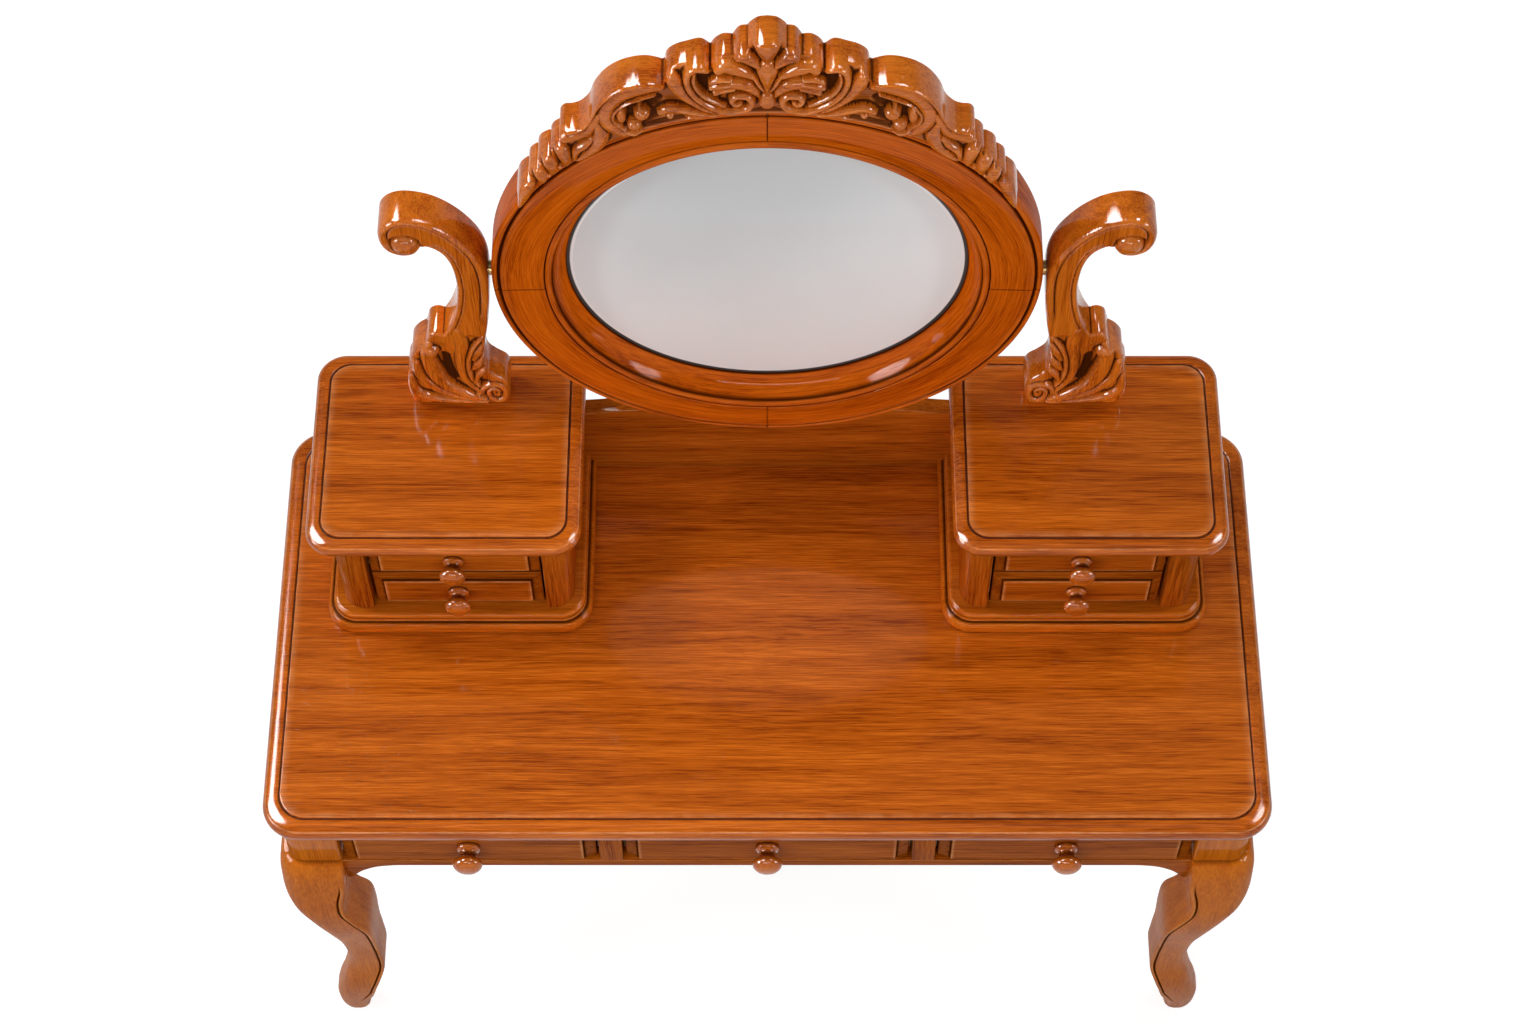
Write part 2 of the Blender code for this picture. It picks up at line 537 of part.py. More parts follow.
def smooth_run(points, steps):
    """Smooth curve through a run of points, each of any number of values."""
    if len(points) < 3:
        return [tuple(point) for point in points]
    padded = [points[0]] + list(points) + [points[-1]]
    curve = []
    for index in range(1, len(padded) - 2):
        before, start, end, after = padded[index - 1:index + 3]
        for step in range(steps):
            t = step / steps
            point = []
            for a, b, c, d in zip(before, start, end, after):
                bend = (2 * a - 5 * b + 4 * c - d) * t ** 2 + (3 * b - a - 3 * c + d) * t ** 3
                point.append(b + ((c - a) * t + bend) / 2)
            curve.append(tuple(point))
    curve.append(tuple(points[-1]))
    return curve


def curve_to_mesh(curve, name):
    """Turn a curve datablock into a welded mesh, and remove the curve."""
    guide = bpy.data.objects.new(name + "_curve", curve)
    bpy.context.scene.collection.objects.link(guide)
    bpy.context.view_layer.update()
    evaluated = guide.evaluated_get(bpy.context.evaluated_depsgraph_get())
    mesh = bpy.data.meshes.new_from_object(evaluated)
    bpy.data.objects.remove(guide, do_unlink=True)
    bm = bmesh.new()
    bm.from_mesh(mesh)
    bmesh.ops.remove_doubles(bm, verts=bm.verts, dist=WELD_DISTANCE)
    return mesh_from(bm, name)


def plate_mesh(name, outline, thickness, edge=0.0):
    """Flat plate of an outline in the XY plane, half its thickness to each side, with rounded edges."""
    curve = bpy.data.curves.new(name, "CURVE")
    curve.dimensions = "2D"
    curve.fill_mode = "BOTH"
    curve.extrude = thickness / 2 - edge
    curve.bevel_depth = edge
    curve.bevel_resolution = 0
    curve.offset = -edge
    spline = curve.splines.new("POLY")
    spline.points.add(len(outline) - 1)
    for point, (x, y) in zip(spline.points, outline):
        point.co = (x, y, 0.0, 1.0)
    spline.use_cyclic_u = True
    return curve_to_mesh(curve, name)


def bar_mesh(name, path):
    """Tapered round bar along a path of points and radii, with rounded tips."""
    first = Vector(path[0][:3])
    last = Vector(path[-1][:3])
    start = (first - Vector(path[1][:3])).normalized()
    end = (last - Vector(path[-2][:3])).normalized()
    opening = [(*(first + start * path[0][3] * BAR_TIP_REACH_SHARE), path[0][3] * BAR_TIP_WIDTH_SHARE)]
    closing = [(*(last + end * path[-1][3] * BAR_TIP_REACH_SHARE), path[-1][3] * BAR_TIP_WIDTH_SHARE)]
    full = opening + list(path) + closing
    curve = bpy.data.curves.new(name, "CURVE")
    curve.dimensions = "3D"
    curve.use_fill_caps = True
    curve.bevel_depth = max(point[3] for point in full)
    curve.bevel_resolution = 1
    spline = curve.splines.new("POLY")
    spline.points.add(len(full) - 1)
    for point, (x, y, z, radius) in zip(spline.points, full):
        point.co = (x, y, z, 1.0)
        point.radius = radius / curve.bevel_depth
    return curve_to_mesh(curve, name)


def ball_mesh(name, centre, radius, flatten):
    """Ball flattened towards its back."""
    bm = bmesh.new()
    bmesh.ops.create_uvsphere(bm, u_segments=BALL_SEGMENTS, v_segments=BALL_RINGS, radius=radius)
    bmesh.ops.scale(bm, vec=(1.0, 1.0, flatten), verts=bm.verts)
    bmesh.ops.translate(bm, vec=centre, verts=bm.verts)
    return mesh_from(bm, name)


def combine(mesh, pieces, operation="UNION"):
    """Join pieces to a mesh, or cut them from it, one after another."""
    for piece in pieces:
        base = bpy.data.objects.new("base", mesh)
        tool = bpy.data.objects.new("tool", piece)
        for item in (base, tool):
            bpy.context.scene.collection.objects.link(item)
        modifier = base.modifiers.new("combine", "BOOLEAN")
        modifier.operation = operation
        modifier.solver = "EXACT"
        modifier.object = tool
        bpy.context.view_layer.update()
        evaluated = base.evaluated_get(bpy.context.evaluated_depsgraph_get())
        mesh = bpy.data.meshes.new_from_object(evaluated)
        for item in (base, tool):
            bpy.data.objects.remove(item, do_unlink=True)
    bm = bmesh.new()
    bm.from_mesh(mesh)
    bmesh.ops.remove_doubles(bm, verts=bm.verts, dist=WELD_DISTANCE)
    return mesh_from(bm, "combined")


def turned(name, profile, steps, kind, location, rotation, parent=None):
    """Round part from a profile of radius and height, tip to foot, turned about its own Z axis."""
    bm = bmesh.new()
    corners = [bm.verts.new((radius, 0.0, height)) for radius, height in profile]
    for upper, lower in zip(corners, corners[1:]):
        bm.edges.new((upper, lower))
    mesh = bpy.data.meshes.new(name)
    bm.to_mesh(mesh)
    bm.free()
    item = place(name, mesh, kind, location, rotation, parent)
    screw = item.modifiers.new("turn", "SCREW")
    screw.axis = "Z"
    screw.steps = steps
    screw.render_steps = steps
    screw.use_merge_vertices = True
    screw.merge_threshold = WELD_DISTANCE
    screw.use_smooth_shade = True
    return item


def slide_empty(name, location):
    """Empty on a moving body's joint, which carries the body's parts."""
    empty = bpy.data.objects.new(name, None)
    PARTS.objects.link(empty)
    empty.location = location
    return empty


def build_table_top():
    """Top board with its rounded lip."""
    profile = lipped_profile(TOP_THICKNESS, LIP_WIDTH, TABLE_LIP_STEPS)
    mesh = moulded_board("table_top", TABLE_WIDTH, TABLE_DEPTH, TOP_CORNER_RADIUS, profile)
    place("table_top", mesh, "lacquered_wood", (0.0, LIP_Y + TABLE_DEPTH / 2, TOP_UNDERSIDE))


def leg_ring(inner_x, inner_y, size_x, size_y, corner_share, height):
    """Section of a leg: its inner corner, its thickness both ways, and a large outer corner."""
    outer = min(size_x, size_y) * corner_share
    back = min(size_x, size_y) * LEG_BACK_CORNER_SHARE
    arris = min(size_x, size_y) * LEG_ARRIS_SHARE
    low_x = inner_x - size_x
    low_y = inner_y - size_y
    points = []
    for step in range(CORNER_STEPS + 1):
        angle = math.pi + math.pi / 2 * step / CORNER_STEPS
        points.append((low_x + outer * (1 + math.cos(angle)), low_y + outer * (1 + math.sin(angle)), height))
    points += [(inner_x - arris, low_y, height), (inner_x, low_y + arris, height)]
    points += [(inner_x, inner_y - back, height), (inner_x - back, inner_y, height)]
    points += [(low_x + back, inner_y, height), (low_x, inner_y - back, height)]
    return points


def build_leg(name, rear):
    """Left leg, its origin at the floor under the inner corner of its post block.

    The front leg swings both ways. The rear leg swings to the side only, so the table stands by a wall.
    """
    block_height = TOP_UNDERSIDE - FIT_GAP
    knee_height = OPENING_BOTTOM
    rings = [
        leg_ring(0.0, 0.0, POST_SIZE, POST_SIZE, POST_CORNER_SHARE, block_height),
        leg_ring(0.0, 0.0, POST_SIZE, POST_SIZE, POST_CORNER_SHARE, knee_height + KNEE_LEDGE),
    ]
    for height_share, side_share, front_share, size_share in LEG_STATION_SHARES:
        size = KNEE_SIZE * size_share
        inner_x = -LEG_SWING * side_share
        depth = POST_SIZE * size_share if rear else size
        inner_y = depth - POST_SIZE if rear else -LEG_SWING * front_share
        rings.append(leg_ring(inner_x, inner_y, size, depth, LEG_CORNER_SHARE, knee_height * height_share))
    mesh = loft_mesh(name, rings)
    if rear:
        mesh.transform(Matrix.Scale(-1, 4, (0, 1, 0)))
        mesh.flip_normals()
    corner_y = REAR_POST_FRONT_Y if rear else POST_BACK_Y
    return place(name, mesh, "lacquered_wood", (-POST_INNER_X, corner_y, 0.0),
                 smooth_angle=LEG_SMOOTH_ANGLE)


def build_legs():
    """Four legs, each side a mirror of the other."""
    for end, rear in (("front", False), ("rear", True)):
        left = build_leg("leg_" + end + "_left", rear)
        place_mirrored("leg_" + end + "_right", left, "lacquered_wood")


def apron_mesh(name, length, height, thickness):
    """Rail whose lower edge sweeps down to an ear at each end, standing in the XY plane."""
    half = length / 2
    ear = smooth_run(EAR_CURVE_SHARES, CURVE_STEPS)
    left = [(-half + EAR_LENGTH * along, -height - EAR_DROP * drop) for along, drop in ear]
    right = [(-x, y) for x, y in reversed(left)]
    outline = left + right + [(half, 0.0), (-half, 0.0)]
    return plate_mesh(name, outline, thickness)


def build_rails():
    """Front rails, aprons and the stiles between the main drawers."""
    front_length = 2 * (POST_INNER_X - FIT_GAP)
    rail_centre_y = RAIL_Y + RAIL_THICKNESS / 2
    lower = apron_mesh("lower_front_rail", front_length, LOWER_RAIL_HEIGHT, RAIL_THICKNESS)
    place("lower_front_rail", lower, "lacquered_wood", (0.0, rail_centre_y, OPENING_BOTTOM), FACING_FRONT)

    half = front_length / 2
    upper = eased_box("upper_front_rail", (-half, RAIL_Y, OPENING_TOP),
                      (half, RAIL_Y + RAIL_THICKNESS, TOP_UNDERSIDE - FIT_GAP), EDGE_EASE)
    place("upper_front_rail", upper, "lacquered_wood", (0.0, 0.0, 0.0))

    apron_height = TOP_UNDERSIDE - FIT_GAP - APRON_BOTTOM
    apron_top = TOP_UNDERSIDE - FIT_GAP
    rear = apron_mesh("rear_apron", front_length, apron_height, APRON_THICKNESS)
    rear_centre_y = APRON_REAR_Y + APRON_THICKNESS / 2
    place("rear_apron", rear, "lacquered_wood", (0.0, rear_centre_y, apron_top), FACING_FRONT)

    side_length = REAR_POST_FRONT_Y - POST_BACK_Y - 2 * FIT_GAP
    side_centre_y = (REAR_POST_FRONT_Y + POST_BACK_Y) / 2
    side = apron_mesh("side_apron_left", side_length, apron_height, APRON_THICKNESS)
    side_x = -(APRON_SIDE_X + APRON_THICKNESS / 2)
    left = place("side_apron_left", side, "lacquered_wood", (side_x, side_centre_y, apron_top),
                 (math.pi / 2, 0.0, math.pi / 2))
    place("side_apron_right", left.data, "lacquered_wood", (-side_x, side_centre_y, apron_top),
          left.rotation_euler)

    half_divider = DIVIDER_WIDTH / 2
    divider = eased_box("drawer_divider_left", (-half_divider, 0.0, FIT_GAP),
                        (half_divider, RAIL_THICKNESS, MAIN_OPENING_HEIGHT - FIT_GAP), EDGE_EASE)
    for side_name, x in (("left", -DIVIDER_X), ("right", DIVIDER_X)):
        place("drawer_divider_" + side_name, divider, "lacquered_wood", (x, RAIL_Y, OPENING_BOTTOM))


def build_dust_board():
    """Board under the main drawers, with a guide strip at each side of each drawer."""
    low_y = RAIL_Y + RAIL_THICKNESS + FIT_GAP
    high_y = APRON_REAR_Y - FIT_GAP
    half = POST_INNER_X - FIT_GAP
    board = box_mesh("dust_board", (-half, low_y, OPENING_BOTTOM - DUST_BOARD_THICKNESS),
                     (half, high_y, OPENING_BOTTOM))
    wing = APRON_SIDE_X - FIT_GAP
    wings = box_mesh("dust_board_wings", (-wing, POST_BACK_Y + FIT_GAP, OPENING_BOTTOM - DUST_BOARD_THICKNESS),
                     (wing, REAR_POST_FRONT_Y - FIT_GAP, OPENING_BOTTOM))
    guides = []
    guide_bottom = OPENING_BOTTOM - DUST_BOARD_THICKNESS / 2
    outer_x = POST_INNER_X + GUIDE_WIDTH / 2
    inner_width = DIVIDER_WIDTH - 2 * DRAWER_GAP
    between_posts = (POST_BACK_Y + FIT_GAP, REAR_POST_FRONT_Y - FIT_GAP)
    for x, width, (start, end) in ((-DIVIDER_X, inner_width, (low_y, high_y)),
                                   (DIVIDER_X, inner_width, (low_y, high_y)),
                                   (-outer_x, GUIDE_WIDTH, between_posts),
                                   (outer_x, GUIDE_WIDTH, between_posts)):
        guides.append(box_mesh("guide", (x - width / 2, start, guide_bottom),
                               (x + width / 2, end, OPENING_BOTTOM + GUIDE_HEIGHT)))
    mesh = combine(board, [wings] + guides)
    place("dust_board", mesh, "drawer_wood", (0.0, 0.0, 0.0))


def build_drawer(name, centre_x, front_y, bottom, width, height, sizes):
    """Sliding drawer: a front with a raised field, an open box behind it and a turned knob."""
    margin, box_height, box_length, knob_diameter, knob_length = sizes
    slide = slide_empty(name + "_slide", (centre_x, front_y, bottom))
    front_width = width - 2 * DRAWER_GAP
    front_height = height - 2 * DRAWER_GAP
    edge = DRAWER_FRONT_THICKNESS - BEVEL_DROP
    profile = [
        (0.0, 0.0),
        (0.0, edge),
        (margin, DRAWER_FRONT_THICKNESS - FIELD_STEP),
        (margin + FIELD_STEP, DRAWER_FRONT_THICKNESS),
    ]
    rings = []
    for inset, depth in profile:
        x = front_width / 2 - inset
        y = front_height / 2 - inset
        rings.append([(-x, -y, depth), (x, -y, depth), (x, y, depth), (-x, y, depth)])
    front = loft_mesh(name + "_front", rings)
    middle = height / 2
    place(name + "_front", front, "lacquered_wood", (0.0, DRAWER_FRONT_THICKNESS, middle), FACING_FRONT, slide,
          DRAWER_SMOOTH_ANGLE)

    box_start = DRAWER_FRONT_THICKNESS + FIT_GAP
    half = width / 2 - DRAWER_GAP
    bm = bmesh.new()
    bm.from_mesh(box_mesh(name + "_box", (-half, box_start, FIT_GAP),
                          (half, box_start + box_length, FIT_GAP + box_height)))
    top = max(bm.faces, key=lambda face: face.calc_center_median().z)
    bmesh.ops.delete(bm, geom=[top], context="FACES_ONLY")
    mesh = bpy.data.meshes.new(name + "_box")
    bm.to_mesh(mesh)
    bm.free()
    box = place(name + "_box", mesh, "drawer_wood", (0.0, 0.0, 0.0), UPRIGHT, slide, DRAWER_SMOOTH_ANGLE)
    shell = box.modifiers.new("walls", "SOLIDIFY")
    shell.thickness = DRAWER_WALL
    shell.offset = -1.0
    shell.use_even_offset = True

    radius = knob_diameter / 2
    knob = [(radius * out, knob_length * up) for out, up in KNOB_PROFILE_SHARES]
    turned(name + "_knob", knob, KNOB_STEPS, "lacquered_wood", (0.0, -FIT_GAP, middle), FACING_FRONT, slide)


def build_main_drawers():
    """Three drawers under the table top."""
    knob_length = MAIN_KNOB_LENGTH - FIT_GAP
    sizes = (MAIN_FIELD_MARGIN, MAIN_BOX_HEIGHT, MAIN_BOX_LENGTH, MAIN_KNOB_DIAMETER, knob_length)
    for side_name, x, width in (("left", -SIDE_OPENING_X, SIDE_OPENING_WIDTH),
                                ("centre", 0.0, CENTRE_OPENING_WIDTH),
                                ("right", SIDE_OPENING_X, SIDE_OPENING_WIDTH)):
        build_drawer("main_drawer_" + side_name, x, RAIL_Y, OPENING_BOTTOM, width, MAIN_OPENING_HEIGHT, sizes)


def build_pedestal_left():
    """Left pedestal: moulded base, two sides with rounded columns, back, shelf and lipped top."""
    base_profile = [(BASE_PROJECTION * inset, PEDESTAL_BASE_HEIGHT * height)
                    for inset, height in BASE_PROFILE_SHARES]
    base_mesh = moulded_board("pedestal_base_left", BASE_WIDTH, BASE_DEPTH, PEDESTAL_BASE_RADIUS, base_profile)
    base_x = -(BASE_INNER_X + BASE_WIDTH / 2)
    base_y = BODY_Y - BASE_PROJECTION + BASE_DEPTH / 2
    base = place("pedestal_base_left", base_mesh, "lacquered_wood", (base_x, base_y, TABLE_HEIGHT + FIT_GAP),
                 smooth_angle=BASE_SMOOTH_ANGLE)
    notch_mesh = box_mesh("base_notch_left",
                          (-BODY_INNER_X, BACK_PANEL_Y - FIT_GAP, TABLE_HEIGHT - CUT_OVERRUN),
                          (-BASE_INNER_X + CUT_OVERRUN, REAR_Y, BODY_BOTTOM + CUT_OVERRUN))
    notch = bpy.data.objects.new("base_notch_left", notch_mesh)
    CUTTERS.objects.link(notch)
    add_cut(base, notch)

    parts = [base]
    for which, thickness, outer in (("outer", PEDESTAL_OUTER_SIDE, True),
                                    ("inner", PEDESTAL_INNER_SIDE, False)):
        side_mesh = column_side_mesh("pedestal_" + which + "_side_left", thickness, outer)
        x = -BODY_OUTER_X if outer else -BODY_INNER_X
        parts.append(place("pedestal_" + which + "_side_left", side_mesh, "lacquered_wood",
                           (x, BODY_Y, (BODY_BOTTOM + BODY_TOP) / 2)))

    low_x = -SMALL_OPENING_OUTER_X + FIT_GAP
    high_x = -SMALL_OPENING_INNER_X - FIT_GAP
    back_mesh = box_mesh("pedestal_back_left", (low_x, PEDESTAL_BACK_Y, BODY_BOTTOM),
                         (high_x, PEDESTAL_BACK_Y + PEDESTAL_BACK_THICKNESS, BODY_TOP))
    parts.append(place("pedestal_back_left", back_mesh, "lacquered_wood", (0.0, 0.0, 0.0)))

    shelf_y = SMALL_FRONT_Y + DRAWER_FRONT_THICKNESS + FIT_GAP
    shelf_mesh = box_mesh("pedestal_shelf_left", (low_x, shelf_y, SHELF_BOTTOM),
                          (high_x, PEDESTAL_BACK_Y - FIT_GAP, SHELF_BOTTOM + PEDESTAL_SHELF_THICKNESS))
    parts.append(place("pedestal_shelf_left", shelf_mesh, "drawer_wood", (0.0, 0.0, 0.0)))

    top_profile = lipped_profile(PEDESTAL_TOP_THICKNESS, PEDESTAL_LIP_WIDTH, PEDESTAL_LIP_STEPS)
    top_mesh = moulded_board("pedestal_top_left", PEDESTAL_TOP_WIDTH, PEDESTAL_TOP_DEPTH,
                             PEDESTAL_TOP_RADIUS, top_profile)
    top_x = -(TOP_INNER_X + PEDESTAL_TOP_WIDTH / 2)
    top_y = BODY_Y - TOP_FRONT_OVERHANG + PEDESTAL_TOP_DEPTH / 2
    parts.append(place("pedestal_top_left", top_mesh, "lacquered_wood", (top_x, top_y, PEDESTAL_TOP_UNDERSIDE)))
    return parts


def column_side_mesh(name, thickness, outer):
    """Pedestal side whose front outer corner is a rounded column, its outer face at X zero."""
    inward = 1 if outer else -1
    arc = []
    for step in range(CORNER_STEPS + 1):
        angle = math.pi / 2 * step / CORNER_STEPS
        arc.append((inward * PEDESTAL_COLUMN_RADIUS * (1 - math.cos(angle)),
                    PEDESTAL_COLUMN_RADIUS * (1 - math.sin(angle))))
    outline = arc + [(inward * thickness, 0.0), (inward * thickness, PEDESTAL_BODY_DEPTH),
                     (0.0, PEDESTAL_BODY_DEPTH)]
    return plate_mesh(name, outline, PEDESTAL_BODY_HEIGHT)


def build_pedestals():
    """Left pedestal and its opposite-hand copy."""
    for part in build_pedestal_left():
        kind = "drawer_wood" if "shelf" in part.name else "lacquered_wood"
        place_mirrored(part.name.replace("left", "right"), part, kind)


def build_small_drawers():
    """Two drawers in each pedestal, one over the other."""
    sizes = (SMALL_FIELD_MARGIN, SMALL_BOX_HEIGHT, SMALL_BOX_LENGTH, SMALL_KNOB_DIAMETER, SMALL_KNOB_LENGTH)
    middle = SHELF_BOTTOM + PEDESTAL_SHELF_THICKNESS / 2
    for side_name, x in (("left", -SMALL_OPENING_X), ("right", SMALL_OPENING_X)):
        for level, bottom, top in (("lower", BODY_BOTTOM, middle), ("upper", middle, BODY_TOP)):
            build_drawer("small_drawer_" + level + "_" + side_name, x, SMALL_FRONT_Y, bottom,
                         SMALL_OPENING_WIDTH, top - bottom, sizes)
    lift = SHELF_BOTTOM + PEDESTAL_SHELF_THICKNESS - middle
    for side_name in ("left", "right"):
        box = bpy.data.objects["small_drawer_upper_" + side_name + "_box"]
        box.location.z = lift


def build_back_panel():
    """Low board between the pedestals, with a gently raised top edge."""
    half = BODY_INNER_X - FIT_GAP
    run = smooth_run(BACK_PANEL_SHARES, CURVE_STEPS)
    right = [(half * x, BACK_PANEL_HEIGHT + BACK_PANEL_CREST * y) for x, y in run]
    left = [(-x, y) for x, y in reversed(right)][:-1]
    outline = [(-half, 0.0), (half, 0.0)] + right[::-1] + left[::-1]
    mesh = plate_mesh("back_panel", outline, BACK_PANEL_THICKNESS)
    y = BACK_PANEL_Y + BACK_PANEL_THICKNESS / 2
    place("back_panel", mesh, "lacquered_wood", (0.0, y, TABLE_HEIGHT + FIT_GAP), FACING_FRONT)


def seam_angles():
    """Angles of the frame's seams, from the right-hand one round to itself."""
    drop = math.asin(SIDE_SEAM_DROP / RING_HALF_HEIGHT)
    return [-drop, math.pi / 2, math.pi + drop, 3 * math.pi / 2, 2 * math.pi - drop]


def oval_angles(start, end):
    """Even steps along one quarter, shared by all the ovals so that they nest."""
    return [start + (end - start) * step / RING_SEGMENTS for step in range(RING_SEGMENTS + 1)]


def full_oval_angles():
    """All the steps once round the oval."""
    seams = seam_angles()
    return [angle for start, end in zip(seams, seams[1:]) for angle in oval_angles(start, end)[:-1]]


def oval(half_width, half_height, angle, front):
    """Point of an oval in the mirror's own plane, at a height towards the viewer."""
    return (half_width * math.cos(angle), half_height * math.sin(angle), front)


def oval_outline(half_width, half_height):
    """Outline of a flat oval board."""
    return [oval(half_width, half_height, angle, 0.0)[:2] for angle in full_oval_angles()]


def frame_section(angle):
    """Section of the mirror frame at an angle round the oval."""
    points = []
    for out_share, back_share in FRAME_SECTION_SHARES:
        half_width = GROOVE_HALF_WIDTH + (RING_HALF_WIDTH - GROOVE_HALF_WIDTH) * out_share
        half_height = GROOVE_HALF_HEIGHT + (RING_HALF_HEIGHT - GROOVE_HALF_HEIGHT) * out_share
        points.append(oval(half_width, half_height, angle, TILT_AXIS_DEPTH - RING_DEPTH * back_share))
    return points


def build_mirror_frame(pivot):
    """Four quarters of the frame, with the side seams a little under the tilt axis."""
    half_gap = FIT_GAP / (2 * GROOVE_HALF_WIDTH)
    seams = seam_angles()
    for which, start, end in zip(("upper_right", "upper_left", "lower_left", "lower_right"), seams, seams[1:]):
        angles = oval_angles(start, end)
        angles[0] += half_gap
        angles[-1] -= half_gap
        rings = [frame_section(angle) for angle in angles]
        name = "mirror_frame_" + which
        quarter = place(name, loft_mesh(name, rings), "lacquered_wood", (0.0, 0.0, 0.0), FACING_FRONT, pivot)
        if "upper" in which:
            side = 1 if "right" in which else -1
            bore_at = side * (RING_HALF_WIDTH - (PIVOT_IN_FRAME - CUT_OVERRUN) / 2)
            add_cut(quarter, pivot_bore("frame_bore_" + which, bore_at, PIVOT_IN_FRAME + CUT_OVERRUN))


def pivot_bore(name, centre_x, length):
    """Cylinder on the tilt axis that cuts a pivot's bore."""
    bm = bmesh.new()
    bmesh.ops.create_cone(bm, cap_ends=True, segments=PIVOT_STEPS, radius1=PIVOT_RADIUS + PIVOT_CLEARANCE,
                          radius2=PIVOT_RADIUS + PIVOT_CLEARANCE, depth=length)
    cutter = bpy.data.objects.new(name, mesh_from(bm, name))
    CUTTERS.objects.link(cutter)
    cutter.rotation_euler = (0.0, math.pi / 2, 0.0)
    cutter.location = (centre_x, PIVOT_Y, PIVOT_Z)
    return cutter


def build_mirror_inside(pivot):
    """Inner moulding, glass and backing board, one behind the other."""
    band_width = GROOVE_HALF_WIDTH - SIGHT_HALF_WIDTH - FIT_GAP
    band_height = GROOVE_HALF_HEIGHT - SIGHT_HALF_HEIGHT - FIT_GAP
    outer_width = GROOVE_HALF_WIDTH - FIT_GAP
    outer_height = GROOVE_HALF_HEIGHT - FIT_GAP
    rest = GLASS_REST + FIT_GAP
    section = [(outer_width - band_width * share, outer_height - band_height * share, COVE_DEPTH * depth)
               for share, depth in MOULDING_SECTION_SHARES]
    back = COVE_DEPTH + GLASS_THICKNESS + FIT_GAP
    section += [
        (SIGHT_HALF_WIDTH, SIGHT_HALF_HEIGHT, COVE_DEPTH),
        (SIGHT_HALF_WIDTH + rest, SIGHT_HALF_HEIGHT + rest, COVE_DEPTH),
        (SIGHT_HALF_WIDTH + rest, SIGHT_HALF_HEIGHT + rest, back),
        (outer_width, outer_height, back),
    ]
    rings = []
    for angle in full_oval_angles():
        rings.append([oval(width, height, angle, TILT_AXIS_DEPTH - depth) for width, height, depth in section])
    mesh = loft_mesh("mirror_inner_moulding", rings, around=True)
    place("mirror_inner_moulding", mesh, "lacquered_wood", (0.0, 0.0, 0.0), FACING_FRONT, pivot)

    glass_depth = COVE_DEPTH + FIT_GAP
    glass_outline = oval_outline(SIGHT_HALF_WIDTH + GLASS_REST, SIGHT_HALF_HEIGHT + GLASS_REST)
    glass = plate_mesh("mirror_glass", glass_outline, GLASS_THICKNESS)
    glass_y = glass_depth + GLASS_THICKNESS / 2 - TILT_AXIS_DEPTH
    place("mirror_glass", glass, "mirror_glass", (0.0, glass_y, 0.0), FACING_FRONT, pivot)

    board = plate_mesh("mirror_backing_board", oval_outline(outer_width, outer_height), BACKING_THICKNESS)
    board_y = back + FIT_GAP + BACKING_THICKNESS / 2 - TILT_AXIS_DEPTH
    place("mirror_backing_board", board, "backing_wood", (0.0, board_y, 0.0), FACING_FRONT, pivot)


def build_pivots(pivot):
    """Turned brass pins, each with a collar between the frame and its support."""
    frame_end = PIVOT_IN_FRAME - FIT_GAP
    support_end = PIVOT_IN_SUPPORT - FIT_GAP
    collar_start = (PIVOT_GAP - COLLAR_THICKNESS) / 2
    profile = [
        (0.0, PIVOT_GAP + support_end), (PIVOT_RADIUS, PIVOT_GAP + support_end),
        (PIVOT_RADIUS, collar_start + COLLAR_THICKNESS), (COLLAR_RADIUS, collar_start + COLLAR_THICKNESS),
        (COLLAR_RADIUS, collar_start), (PIVOT_RADIUS, collar_start), (PIVOT_RADIUS, -frame_end), (0.0, -frame_end),
    ]
    for side_name, side in (("left", -1), ("right", 1)):
        turned("mirror_pivot_" + side_name, profile, PIVOT_STEPS, "brass", (side * RING_HALF_WIDTH, 0.0, 0.0),
               (0.0, side * math.pi / 2, 0.0), pivot)


def support_point(out_share, up_share):
    """Place on the left support's face, from the table's middle plane and the support's foot."""
    return (-(SUPPORT_INNER_X + SUPPORT_WIDTH * out_share), SUPPORT_HEIGHT * up_share)


def build_supports():
    """Scroll supports with their rolled head, inner bead, leaves and volute."""
    outline = []
    for run in SUPPORT_OUTLINE_SHARES:
        outline += smooth_run([support_point(*point) for point in run], SUPPORT_OUTLINE_STEPS)
    mesh = plate_mesh("mirror_support_left", outline, SUPPORT_THICKNESS, SUPPORT_EDGE)
    face = SUPPORT_THICKNESS / 2
    pieces = []
    for run in SUPPORT_BAR_SHARES:
        path = []
        for out_share, up_share, radius_share in run:
            radius = SUPPORT_RELIEF * radius_share
            path.append((*support_point(out_share, up_share), face - radius * BAR_SINK_SHARE, radius))
        pieces.append(bar_mesh("support_bar", path))
    for place_shares, radius, flattening in ((BOSS_PLACE_SHARES, BOSS_RADIUS, BOSS_FLATTENING_SHARE),
                                             (LEAF_KNOB_PLACE_SHARES, LEAF_KNOB_RADIUS, LEAF_KNOB_FLATTENING_SHARE)):
        centre = (*support_point(*place_shares), face - radius * BAR_SINK_SHARE)
        pieces.append(ball_mesh("support_ball", centre, radius, flattening))
    pieces.append(volute_mesh(face))
    mesh = combine(mesh, pieces)
    y = MIRROR_Y + SUPPORT_THICKNESS / 2
    item = place("mirror_support_left", mesh, "lacquered_wood", (0.0, y, SUPPORT_BOTTOM), FACING_FRONT)
    bore_at = -(RING_HALF_WIDTH + PIVOT_GAP + (PIVOT_IN_SUPPORT - CUT_OVERRUN) / 2)
    add_cut(item, pivot_bore("support_bore_left", bore_at, PIVOT_IN_SUPPORT + CUT_OVERRUN))
    place_mirrored("mirror_support_right", item, "lacquered_wood")


